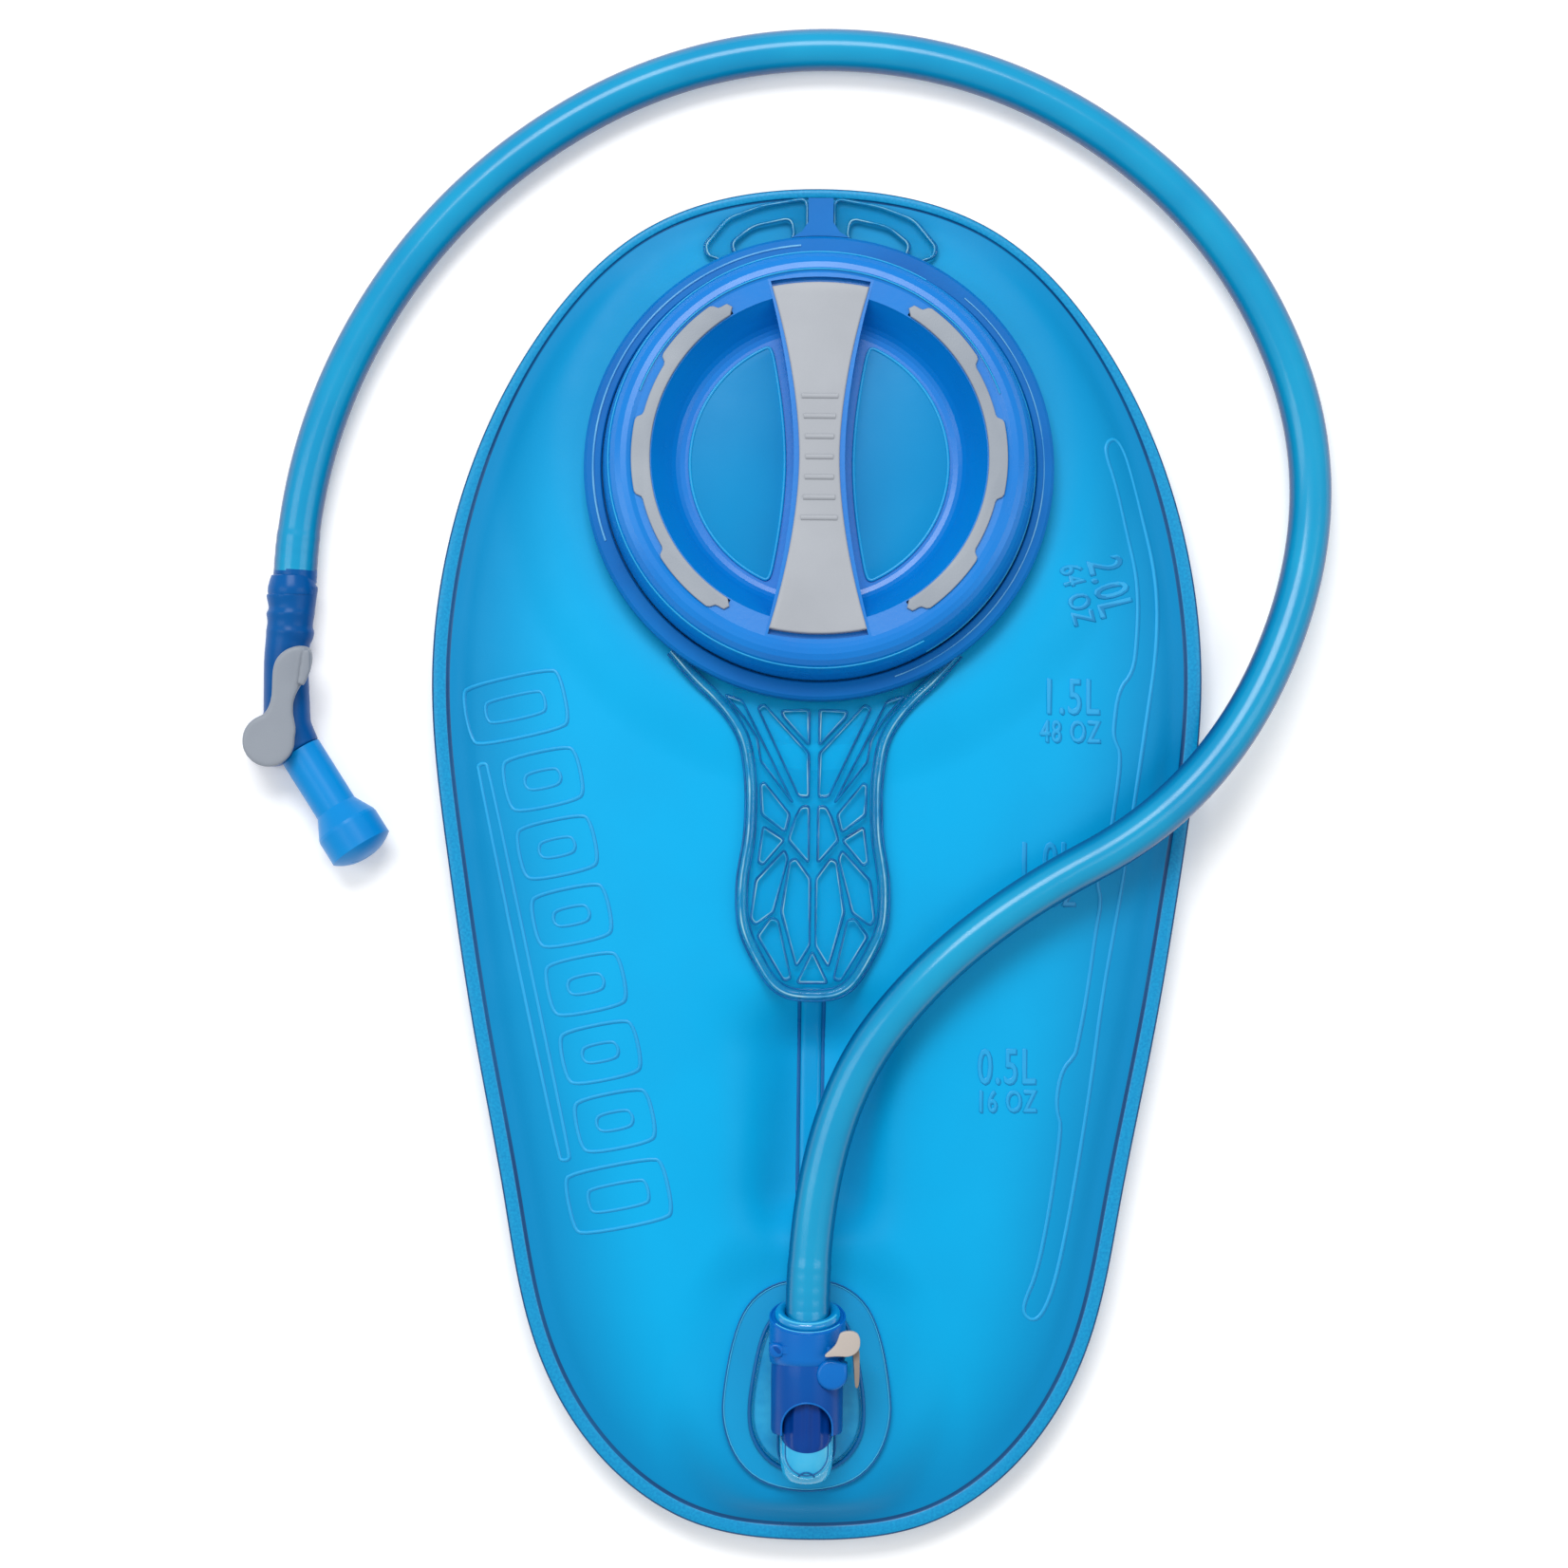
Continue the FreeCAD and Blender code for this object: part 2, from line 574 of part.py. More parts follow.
# ---------------------------------------------------------------- exit port on the front film
def exit_port():
    face = dim("exit_face_z")
    axis = dim("exit_axis_z")
    flange_pts = [(0, -101.6), (12.5, -106.5), (19.0, -118.0), (21.2, -132.0), (17.5, -145.0),
                  (9.5, -152.5), (0, -154.4)]
    raised_pts = [(0, -109.4), (8.0, -111.8), (11.5, -120.0), (13.75, -134.0), (11.5, -143.5),
                  (6.5, -148.2), (0, -149.3)]
    flange = prism(spline(mirrored([(x, y, 0.0) for x, y in flange_pts])), face + 0.05, face + 1.5)
    raised = prism(spline(mirrored([(x, y, 0.0) for x, y in raised_pts])), face + 1.0, face + 2.4)
    socket = Part.makeCylinder(dim("socket_rad"), 39.0, V(0, -151.5, axis), V(0, 1, 0))
    rear = Part.makeSphere(dim("socket_rad"), V(0, -149.2, axis))
    rear = rear.common(Part.makeBox(30, 30, 30, V(-15, -152.6, axis - 15)))
    pillar = Part.makeBox(7.6, 11.5, axis - face - 1.0, V(-3.8, -151.5, face + 1.0))
    saddle = saddle_wall(face)
    whole = flange.fuse([raised, socket, rear, pillar, saddle])
    bore = Part.makeCylinder(dim("socket_bore_rad"), 50.0, V(0, -149.5, axis), V(0, 1, 0))
    passage = Part.makeCylinder(2.8, axis - face + 2.0, V(0, -146.8, face - 2.0))
    groove = Part.makeCylinder(12.0, 2.4, V(0, -118.7, axis), V(0, 1, 0))
    groove = groove.cut(Part.makeCylinder(dim("socket_rad") - 0.6, 4.0, V(0, -119.0, axis), V(0, 1, 0)))
    whole = whole.cut(bore).cut(passage).cut(groove).removeSplitter()
    node("exit_port", shaped("exit_shape", whole, EXIT))


def saddle_wall(face):
    """U-shaped clear wall round the socket's closed end."""
    def stadium(radius, low, high):
        end = Part.makeCylinder(radius, high - low, V(0, -143.0, low))
        side = Part.makeBox(2 * radius, 4.0, high - low, V(-radius, -143.0, low))
        return end.fuse(side)
    low, high = face + 1.0, face + 7.5
    wall = stadium(8.7, low, high).cut(stadium(7.3, low - 1.0, high + 1.0))
    return wall.cut(Part.makeBox(40, 10, 40, V(-20, -139.2, low - 5)))


exit_port()


# parts on the connector's axis are turned about it; local Z points along +Y in the row
def on_axis(name, points):
    """Turned about the connector axis; corners are (radius, row Y)."""
    return turned(name, points, EXIT_AXIS)


def check_valve():
    disc = [(0.0, -144.8), (5.0, -144.8), (5.0, -143.4), (0.0, -143.4)]
    stem = [(0.0, -147.2), (1.6, -147.2), (1.6, -144.7), (0.0, -144.7)]
    parts_used = [on_axis("poppet_disc", disc), on_axis("poppet_stem", stem)]
    node("check_poppet", fused("poppet_fused", parts_used))
    seal = [(3.3, -143.4), (4.7, -143.4), (4.7, -142.9), (3.3, -142.9)]
    node("poppet_seal", on_axis("poppet_seal_turned", seal))
    rings = []
    for k in range(4):
        z = -149.4 + 1.3 * k
        section = [(3.5, z), (4.3, z), (4.3, z + 0.6), (3.5, z + 0.6)]
        rings.append(on_axis("spring_ring_%d" % k, section))
    for k in range(3):
        z = -149.0 + 1.3 * k
        for side in (0.0, 180.0):
            bridge = turned_about_z(Part.makeBox(0.7, 1.2, 1.1, V(3.55, -0.6, z)), side + 90.0 * k)
            rings.append(shaped("spring_bridge_%d_%d" % (k, side), bridge, EXIT_AXIS))
    node("poppet_spring", fused("poppet_spring_fused", rings))


check_valve()


def connector():
    axis = dim("exit_axis_z")
    barrel_profile = [
        (Bound("barrel_bore_rad"), -138.6), (Bound("barrel_rad", -0.4), -138.6),
        (Bound("barrel_rad"), -138.2), (Bound("barrel_rad"), -121.6),
        (Bound("shoulder_rad"), -121.0), (Bound("shoulder_rad"), -112.4),
        (8.6, -111.2), (8.9, -110.2), (8.7, -108.6), (7.8, -107.2), (6.4, -106.3),
        (5.6, -106.2), (5.45, -106.6), (5.45, -109.6), (3.6, -109.6), (3.6, -113.0),
        (Bound("nose_rad", 0.15), -113.0), (Bound("nose_rad", 0.15), -112.2),
        (Bound("barrel_bore_rad"), -112.2),
    ]
    shell = on_axis("connector_turned", barrel_profile)
    hump = shaped("connector_hump", Part.makeBox(5.0, 10.4, 5.0, V(-6.0, -121.2, axis + 5.6)), EXIT)
    ear = shaped("connector_ear", Part.makeCylinder(3.6, 9.0, V(3.0, -123.6, axis)), EXIT)
    whole = fused("connector_whole", [shell, hump, ear])
    bore = cylinder("connector_bore", Bound("barrel_bore_rad"), 26.4, V(0, 0, -138.7), None, EXIT_AXIS)
    slot = box("latch_slot", (24.0, 2.4, 17.4), V(-12.0, -118.7, axis - 8.7), EXIT)
    recess = box("button_recess", (6.0, 15.2, 17.5), V(7.3, -127.0, axis - 6.5), EXIT)
    arch = shaped("front_arch", arch_window(axis), EXIT)
    node("connector_body", cut("connector_cut", whole, [bore, slot, recess, arch]))


def arch_window(axis):
    """Round-topped window in the top of the barrel that shows the socket."""
    straight = Part.makeBox(11.0, 6.0, 12.0, V(-5.5, -139.0, axis + 4.0))
    round_end = Part.makeCylinder(5.5, 12.0, V(0, -135.8, axis + 4.0))
    return straight.fuse(round_end)


def connector_nose():
    nose = Bound("nose_rad")
    bore = Bound("nose_bore_rad")
    profile = [
        (bore, -142.6), (Bound("nose_rad", -0.6), -142.6), (nose, -141.9), (nose, -140.8),
        (Bound("nose_rad", -0.8), -140.8), (Bound("nose_rad", -0.8), -139.2), (nose, -139.2),
        (nose, -112.4), (bore, -112.4),
    ]
    barrel = on_axis("nose_turned", profile)
    flutes = []
    for k in range(12):
        angle = math.radians(30.0 * k)
        centre = V(5.55 * math.cos(angle), 5.55 * math.sin(angle), -138.4)
        flutes.append(cylinder("flute_%d" % k, 0.8, 12.0, centre, None, EXIT_AXIS))
    node("connector_nose", cut("nose_cut", barrel, flutes))
    seal = doc.addObject("Part::Torus", "nose_seal_ring")
    seal.Radius1 = 4.72
    seal.Radius2 = 0.4
    seal.Placement = EXIT_AXIS.multiply(FreeCAD.Placement(V(0, 0, -140.0), FreeCAD.Rotation()))
    node("nose_seal", seal)


def latch_and_button():
    axis = dim("exit_axis_z")
    plate = Part.makeBox(18.3, 1.8, 16.0, V(-9.4, -118.4, axis - 8.0))
    corner = Part.makeCylinder(9.6, 4.0, V(0, -119.5, axis), V(0, 1, 0))
    plate = plate.common(corner)
    hole = Part.makeCylinder(7.2, 4.0, V(1.25, -119.5, axis), V(0, 1, 0))
    hole = hole.common(Part.makeBox(17.9, 10, 40, V(-10.0, -124.0, axis - 20)))
    plate = plate.cut(hole)
    plate = plate.common(Part.makeBox(18.3, 10, 40, V(-9.4, -124.0, axis - 20)))
    node("latch_plate", shaped("latch_shape", plate, EXIT))
    leg = Part.makeBox(1.8, 14.4, 11.0, V(8.95, -126.7, axis - 4.0))
    lip_pts = [(1.6, -117.6), (1.6, -116.8), (4.6, -114.2), (5.2, -112.3), (10.75, -112.3),
               (10.75, -117.6)]
    lip = polygon(lip_pts, axis + 9.6, axis + 11.4)
    riser = Part.makeBox(1.8, 5.3, 8.0, V(8.95, -117.6, axis + 3.4))
    button = leg.fuse([lip, riser]).removeSplitter()
    node("release_button", shaped("button_shape", button, EXIT))
    leaf = spline([(7.55, -120.4, 0), (8.5, -121.6, 0), (8.82, -123.4, 0), (8.5, -125.2, 0),
                   (7.55, -126.4, 0)], False)
    strip = leaf_strip(leaf, 0.2, axis - 2.0, axis + 2.0)
    node("latch_spring", shaped("latch_spring_shape", strip, EXIT))


def leaf_strip(curve, thick, low, high):
    """A thin bent strip: the curve and its copy moved by the thickness, closed and extruded."""
    edge_a = curve.toShape()
    edge_b = edge_a.copy()
    edge_b.translate(V(-thick, 0, 0))
    a0, a1 = edge_a.Vertexes[0].Point, edge_a.Vertexes[1].Point
    b0, b1 = edge_b.Vertexes[0].Point, edge_b.Vertexes[1].Point
    edges = [edge_a, Part.makeLine(a1, b1), edge_b, Part.makeLine(b0, a0)]
    face = Part.Face(Part.Wire(Part.__sortEdges__(edges)))
    face.translate(V(0, 0, low))
    return face.extrude(V(0, 0, high - low))


def barb(name, start, end, pitch, crest, root, bore, placement, rings):
    """A hose barb along the placement's Z: a bored stem with saw-tooth rings."""
    profile = [(bore, start), (root, start)]
    for k in range(rings):
        z = start + 1.5 + pitch * k
        profile += [(root, z), (crest, z + 0.1), (root, z + pitch * 0.8)]
    profile += [(root, end), (bore, end)]
    return turned(name, profile, placement)


connector()
connector_nose()
latch_and_button()
hose_tail = barb("hose_tail_turned", -112.3, -96.0, 3.0, Bound("tube_bore_rad", -0.05),
                 Bound("tube_bore_rad", -0.5), 2.4, EXIT_AXIS, 4)
node("hose_tail", hose_tail)


# ---------------------------------------------------------------- drink tube
ROUTE = [(-1.0, -109.2, 29.5), (-1.0, -64.0, 29.5), (34.0, -16.0, 33.5), (100.0, 19.0, 21.0),
         (129.0, 92.0, 5.3), (104.0, 158.0, 5.3), (44.0, 201.0, 5.3), (-29.0, 204.0, 5.3),
         (-92.0, 167.0, 5.3), (-129.0, 105.0, 5.3), (-130.0, 69.0, 5.3)]


def tube_path():
    """Straight runs joined by tangent arcs; returns the wire and its bend radii."""
    pts = [V(*p) for p in ROUTE]
    edges = []
    radii = []
    last = pts[0]
    for k in range(1, len(pts) - 1):
        into = pts[k] - pts[k - 1]
        out = pts[k + 1] - pts[k]
        turn = into.getAngle(out)
        reach = 0.45 * min(into.Length, out.Length)
        radius = reach / math.tan(turn / 2.0)
        radii.append(radius)
        a = pts[k] - V(into).normalize() * reach
        b = pts[k] + V(out).normalize() * reach
        inward = (V(out).normalize() - V(into).normalize()).normalize()
        middle = pts[k] + inward * (radius / math.cos(turn / 2.0) - radius)
        edges.append(Part.makeLine(last, a))
        edges.append(Part.Arc(a, middle, b).toShape())
        last = b
    edges.append(Part.makeLine(last, pts[-1]))
    return Part.Wire(edges), radii


def drink_tube():
    wire, radii = tube_path()
    print("tube bend radii", [round(r, 1) for r in radii], "length", round(wire.Length, 1))
    start = V(*ROUTE[0])
    heading = (V(*ROUTE[1]) - start).normalize()
    outer = Part.Wire([Part.makeCircle(dim("tube_rad"), start, heading)])
    inner = Part.Wire([Part.makeCircle(dim("tube_bore_rad"), start, heading)])
    body = wire.makePipeShell([outer], True, False)
    bore = wire.makePipeShell([inner], True, False)
    node("drink_tube", shaped("tube_shape", body.cut(bore)))
    area = math.pi * (dim("tube_rad") ** 2 - dim("tube_bore_rad") ** 2)
    print("tube volume over section x length", parts["drink_tube"].Shape.Volume / (area * wire.Length))


drink_tube()


# ---------------------------------------------------------------- bite valve
VALVE = V(dim("valve_pos_x"), dim("valve_pos_y"), 0)
TUBE_END = V(*ROUTE[-1])
AXIS_Z = 6.0
TURN = dim("sleeve_turn")
SLEEVE_RISE = 0.097
SLEEVE_DIR = V(math.cos(math.radians(TURN)), math.sin(math.radians(TURN)), SLEEVE_RISE).normalize()
TUBE_IN = (V(*ROUTE[-2]) - V(*ROUTE[-1])).normalize()
SLEEVE_START = V(-128.6, 27.6, AXIS_Z)


def cone_along(r1, r2, start, end):
    direction = end - start
    length = direction.Length
    direction.normalize()
    if abs(r1 - r2) < 1e-6:
        return Part.makeCylinder(r1, length, start, direction)
    return Part.makeCone(r1, r2, length, start, direction)


def valve_body():
    body_r = dim("valve_body_rad")
    neck = V(-132.0, 50.0, AXIS_Z)
    collar_end = V(TUBE_END.x, TUBE_END.y - 0.3, AXIS_Z - 0.4)
    corner = V(-131.6, 34.0, AXIS_Z)
    barrel = cone_along(5.9, 5.5, collar_end, neck)
    rings = [cone_along(6.15, 5.6, V(-131.0, 66.0 - 4.5 * k, AXIS_Z - 0.2),
                        V(-131.0, 63.4 - 4.5 * k, AXIS_Z - 0.2)) for k in range(3)]
    lower = cone_along(5.5, 5.9, neck, corner)
    knee = Part.makeSphere(5.9, corner)
    outlet = cone_along(5.6, 5.4, corner, SLEEVE_START)
    joint_ball = Part.makeSphere(5.4, SLEEVE_START)
    spout = cone_along(3.6, 3.6, SLEEVE_START, SLEEVE_START + SLEEVE_DIR * 12.0)
    housing = Part.makeCylinder(body_r, 11.9, V(VALVE.x, VALVE.y, 0.0))
    whole = barrel.fuse(rings + [lower, knee, outlet, joint_ball, spout, housing])
    sleeve_room = Part.makeCylinder(30.0, 30.0, SLEEVE_START + SLEEVE_DIR * 0.6, SLEEVE_DIR)
    sleeve_room = sleeve_room.cut(Part.makeCylinder(3.6, 40.0, SLEEVE_START - SLEEVE_DIR * 2, SLEEVE_DIR))
    near = Part.makeSphere(12.0, SLEEVE_START + SLEEVE_DIR * 6.0)
    whole = whole.cut(sleeve_room.common(near).cut(housing))
    barb_stem = Part.makeCylinder(3.45, 15.0, TUBE_END - TUBE_IN * 1.0, TUBE_IN)
    whole = whole.fuse(barb_stem)
    flow_in = cone_along(2.4, 2.4, TUBE_END + TUBE_IN * 14.5, V(-131.8, 44.0, AXIS_Z))
    flow_mid = cone_along(2.4, 2.4, V(-131.8, 44.0, AXIS_Z), V(VALVE.x, VALVE.y, AXIS_Z))
    flow_out = cone_along(2.4, 2.4, V(VALVE.x, VALVE.y, AXIS_Z), SLEEVE_START)
    flow_tip = cone_along(2.4, 2.4, SLEEVE_START - SLEEVE_DIR, SLEEVE_START + SLEEVE_DIR * 13.0)
    plug_room = Part.makeCylinder(dim("plug_rad") + 0.05, 12.0, V(VALVE.x, VALVE.y, 1.2))
    flow = flow_in.fuse([flow_mid, flow_out, flow_tip, Part.makeSphere(2.4, V(-131.8, 44.0, AXIS_Z))])
    whole = whole.cut(flow).cut(plug_room)
    floor = Part.makeBox(80, 160, 30, V(-170, -40, 0))
    node("valve_body", shaped("valve_shape", whole.common(floor)))


def shutoff_plug():
    plug = Part.makeCylinder(dim("plug_rad"), 11.5, V(VALVE.x, VALVE.y, 1.3))
    way_a = cone_along(2.4, 2.4, V(VALVE.x, VALVE.y, AXIS_Z), V(-131.0, 47.0, AXIS_Z))
    way_b = cone_along(2.4, 2.4, V(VALVE.x, VALVE.y, AXIS_Z), SLEEVE_START)
    groove = Part.makeTorus(dim("plug_rad") - 0.48, 0.5, V(VALVE.x, VALVE.y, 10.2))
    plug = plug.cut(way_a).cut(way_b).cut(groove)
    node("shutoff_plug", shaped("plug_shape", plug))
    ring = Part.makeTorus(dim("plug_rad") - 0.48, 0.45, V(VALVE.x, VALVE.y, 10.2))
    node("plug_seal", shaped("plug_seal_shape", ring))


def shutoff_lever():
    head = Part.makeCylinder(6.5, 2.6, V(VALVE.x, VALVE.y, 12.8))
    pts = [(-138.9, 34.5), (-134.6, 43.6), (-133.8, 49.3), (-131.6, 51.8), (-125.2, 52.3),
           (-124.8, 48.4), (-127.4, 43.4), (-129.4, 36.6), (-129.6, 30.0)]
    curve = spline([(x, y, 0.0) for x, y in pts])
    paddle = prism(curve, 12.8, 15.4)
    tab_pts = [(-127.0, 52.2), (-124.9, 52.2), (-124.8, 47.0), (-126.6, 43.0), (-128.2, 43.6)]
    tab = polygon(tab_pts, 15.2, 17.2)
    whole = head.fuse([paddle, tab]).removeSplitter()
    node("shutoff_lever", shaped("lever_shape", whole))


def bite_sleeve():
    """Soft mouthpiece: straight sleeve, flared bulb, slit mouth with a bulged end."""
    length = dim("sleeve_length")
    small = dim("sleeve_rad")
    big = dim("sleeve_mouth_rad")
    start = 0.7
    outer = [V(0, 0, start), V(small, 0, start), V(small, 0, 17.6), V(small + 0.5, 0, 18.6),
             V(big - 0.2, 0, 22.4), V(big, 0, 23.2), V(big, 0, length - 2.6)]
    edges = [Part.makeLine(outer[k], outer[k + 1]) for k in range(len(outer) - 1)]
    tip = V(0, 0, length)
    edges.append(Part.Arc(outer[-1], V(big * 0.62, 0, length - 0.75), tip).toShape())
    edges.append(Part.makeLine(tip, outer[0]))
    solid = Part.Face(Part.Wire(edges)).revolve(V(0, 0, 0), V(0, 0, 1), 360)
    inner_pts = [V(0, 0, 0), V(3.65, 0, 0), V(3.65, 0, 17.0), V(big - 1.8, 0, 22.6),
                 V(big - 1.8, 0, length - 3.6), V(0, 0, length - 2.0), V(0, 0, 0)]
    hollow = Part.Face(Part.makePolygon(inner_pts)).revolve(V(0, 0, 0), V(0, 0, 1), 360)
    solid = solid.cut(hollow)
    slit = Part.makeBox(9.0, 0.3, 6.0, V(-4.5, -0.15, length - 5.0))
    solid = solid.cut(slit)
    solid.Placement = FreeCAD.Placement(SLEEVE_START, FreeCAD.Rotation(V(0, 0, 1), SLEEVE_DIR))
    housing_room = Part.makeCylinder(dim("valve_body_rad") + 0.05, 14.0, V(VALVE.x, VALVE.y, -1.0))
    solid = max(solid.cut(housing_room).Solids, key=lambda s: s.Volume)
    node("bite_sleeve", shaped("sleeve_shape", solid))


valve_body()
shutoff_plug()
shutoff_lever()
bite_sleeve()

# ---------------------------------------------------------------- check and write
doc.recompute()
for obj in doc.Objects:
    if "Invalid" in obj.State or "Error" in obj.State:
        raise RuntimeError("failed object %s: %s" % (obj.Name, obj.State))
os.makedirs("parts", exist_ok=True)
for name, obj in parts.items():
    shape = obj.Shape
    if shape.isNull() or not shape.isValid():
        raise RuntimeError("bad shape: " + name)
    if len(shape.Solids) != 1:
        print("WARNING solids", name, len(shape.Solids))
    box_now = shape.BoundBox
    print("%-16s vol %9.1f  x %7.1f %7.1f  y %7.1f %7.1f  z %6.2f %6.2f" % (
        name, shape.Volume, box_now.XMin, box_now.XMax, box_now.YMin, box_now.YMax,
        box_now.ZMin, box_now.ZMax))
    shape.exportStep("parts/%s.step" % name)
print("parts", len(parts))
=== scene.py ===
import math

import bmesh
import bpy
import numpy as np
from mathutils import Matrix, Vector, noise


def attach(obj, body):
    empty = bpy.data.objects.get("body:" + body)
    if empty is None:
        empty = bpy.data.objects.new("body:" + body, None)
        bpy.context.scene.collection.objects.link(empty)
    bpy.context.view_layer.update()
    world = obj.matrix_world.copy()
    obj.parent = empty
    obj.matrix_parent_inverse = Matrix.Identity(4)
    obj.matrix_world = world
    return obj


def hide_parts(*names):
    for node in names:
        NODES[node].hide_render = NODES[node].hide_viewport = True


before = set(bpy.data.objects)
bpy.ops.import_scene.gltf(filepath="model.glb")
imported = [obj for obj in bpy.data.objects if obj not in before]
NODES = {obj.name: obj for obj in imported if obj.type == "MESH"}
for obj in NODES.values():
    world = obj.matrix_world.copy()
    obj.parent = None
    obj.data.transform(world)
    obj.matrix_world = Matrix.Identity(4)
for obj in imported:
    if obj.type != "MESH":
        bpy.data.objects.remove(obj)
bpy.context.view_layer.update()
MM = 0.001
CENTRE = (0.0, 97.0, 17.5)          # fill port on the front film, mm
TILT = math.radians(7.0)
PORT = Matrix.Translation(Vector(CENTRE) * MM) @ Matrix.Rotation(-TILT, 4, "X")
EXIT_X = -1.0                       # the connector's axis, mm
EXIT_Z = 29.5
BRIGHT = 0.72                       # share of base colour that the light leaves room for
PLASTIC_IOR = 1.5


# ------------------------------------------------------------------ materials
def linear(red, green, blue):
    """Base colour for a surface that shows these 0-255 display values under this bright light."""
    out = []
    for value in (red, green, blue):
        c = value / 255.0
        out.append(BRIGHT * (c / 12.92 if c <= 0.04045 else ((c + 0.055) / 1.055) ** 2.4))
    return (out[0], out[1], out[2], 1.0)


def add_noise(nodes, links, coord, scale, detail=3.0, rough=0.5):
    tex = nodes.new("ShaderNodeTexNoise")
    tex.inputs["Scale"].default_value = scale
    tex.inputs["Detail"].default_value = detail
    tex.inputs["Roughness"].default_value = rough
    links.new(coord, tex.inputs["Vector"])
    return tex.outputs["Fac"]


def moulded(name, colour, shade=None, rough=0.35, rough_span=0.08, fine=900.0, fine_height=0.02,
            wave=60.0, wave_height=0.0, coat=0.0, blotch=35.0, sheen=0.0, specular=0.5, alpha=1.0):
    """Moulded plastic or rubber: slight colour blotches, uneven gloss and a fine surface grain."""
    mat = bpy.data.materials.new(name)
    mat.use_nodes = True
    nodes = mat.node_tree.nodes
    links = mat.node_tree.links
    shader = nodes["Principled BSDF"]
    coord = nodes.new("ShaderNodeTexCoord").outputs["Object"]
    mix = nodes.new("ShaderNodeMixRGB")
    mix.inputs["Color1"].default_value = colour
    mix.inputs["Color2"].default_value = shade or tuple(c * 0.82 for c in colour[:3]) + (1.0,)
    spread = nodes.new("ShaderNodeMapRange")
    spread.inputs["From Min"].default_value = 0.35
    spread.inputs["From Max"].default_value = 0.65
    links.new(add_noise(nodes, links, coord, blotch), spread.inputs["Value"])
    links.new(spread.outputs["Result"], mix.inputs["Fac"])
    links.new(mix.outputs["Color"], shader.inputs["Base Color"])
    gloss = nodes.new("ShaderNodeMapRange")
    gloss.inputs["To Min"].default_value = rough - rough_span
    gloss.inputs["To Max"].default_value = rough + rough_span
    links.new(add_noise(nodes, links, coord, blotch * 4.0), gloss.inputs["Value"])
    links.new(gloss.outputs["Result"], shader.inputs["Roughness"])
    bump = nodes.new("ShaderNodeBump")
    bump.inputs["Strength"].default_value = 0.5
    bump.inputs["Distance"].default_value = fine_height * MM
    links.new(add_noise(nodes, links, coord, fine, 2.0), bump.inputs["Height"])
    last = bump.outputs["Normal"]
    if wave_height:
        soft = nodes.new("ShaderNodeBump")
        soft.inputs["Strength"].default_value = 0.6
        soft.inputs["Distance"].default_value = wave_height * MM
        links.new(add_noise(nodes, links, coord, wave, 1.5), soft.inputs["Height"])
        links.new(last, soft.inputs["Normal"])
        last = soft.outputs["Normal"]
    links.new(last, shader.inputs["Normal"])
    shader.inputs["IOR"].default_value = PLASTIC_IOR
    shader.inputs["Specular IOR Level"].default_value = specular
    shader.inputs["Alpha"].default_value = alpha
    shader.inputs["Coat Weight"].default_value = coat
    shader.inputs["Coat Roughness"].default_value = 0.15
    shader.inputs["Sheen Weight"].default_value = sheen
    return mat


FILM = moulded("film", linear(0, 187, 250), linear(0, 183, 246), 0.42, 0.06, 1300.0, 0.04, 30.0, 0.1,
               specular=0.12)
WELD = moulded("film_weld", linear(0, 150, 212), linear(14, 168, 226), 0.34, 0.1, 2600.0, 0.05,
               blotch=1500.0, specular=0.25)
WELD_LINE = moulded("film_weld_line", linear(0, 92, 150), linear(0, 74, 130), 0.3, 0.08, 1300.0, 0.03,
                    specular=0.3)
TUBE = moulded("tube", linear(16, 172, 222), linear(4, 160, 214), 0.2, 0.05, 700.0, 0.01,
               coat=0.05, specular=0.3)
TUBE_END = moulded("tube_on_barb", linear(0, 98, 176), linear(0, 88, 164), 0.26, 0.05, 700.0, 0.01,
                   specular=0.14)
CAP = moulded("cap", linear(0, 137, 232), linear(0, 128, 224), 0.26, 0.06, 900.0, 0.02, specular=0.34)
CAP_FLOOR = moulded("cap_floor", linear(0, 152, 216), linear(0, 147, 211), 0.34, 0.05, 900.0, 0.02,
                    specular=0.1)
# painted highlight for the wells' fillets and the cap's lines of light
CAP_HIGHLIGHT = moulded("cap_fillet_highlight", linear(30, 178, 240), linear(10, 166, 232), 0.28, 0.05, 900.0, 0.02,
                   specular=0.3)
RING = moulded("tether", linear(0, 126, 212), linear(0, 114, 200), 0.3, 0.06, 900.0, 0.02, specular=0.1)
RING_GLINT = moulded("tether_glint", linear(120, 200, 245), linear(60, 160, 232), 0.25, 0.06, 900.0, 0.02,
                     specular=0.4, blotch=60.0)
GRIP = moulded("grip_gray", linear(186, 191, 199), linear(178, 183, 191), 0.5, 0.06, 2200.0, 0.05,
               sheen=0.05, specular=0.3)
CONNECTOR = moulded("connector_blue", linear(0, 118, 212), linear(0, 106, 202), 0.28, 0.06, 1200.0, 0.02,
                    specular=0.22)
BARREL = moulded("nose_blue", linear(0, 88, 178), linear(0, 74, 164), 0.3, 0.06, 1200.0, 0.02,
                 specular=0.16)
NOSE = moulded("flutes_blue", linear(0, 70, 160), linear(0, 56, 146), 0.22, 0.06, 1200.0, 0.02,
               specular=0.2)
COLLAR = moulded("collar_cyan", linear(0, 156, 226), linear(0, 146, 218), 0.14, 0.05, 900.0, 0.01,
                 specular=0.6)
VALVE = moulded("valve_blue", linear(0, 96, 172), linear(0, 84, 158), 0.32, 0.06, 1200.0, 0.02,
                specular=0.14)
SLEEVE = moulded("sleeve_silicone", linear(0, 156, 236), linear(0, 144, 226), 0.3, 0.06, 1500.0, 0.02,
                 specular=0.2)
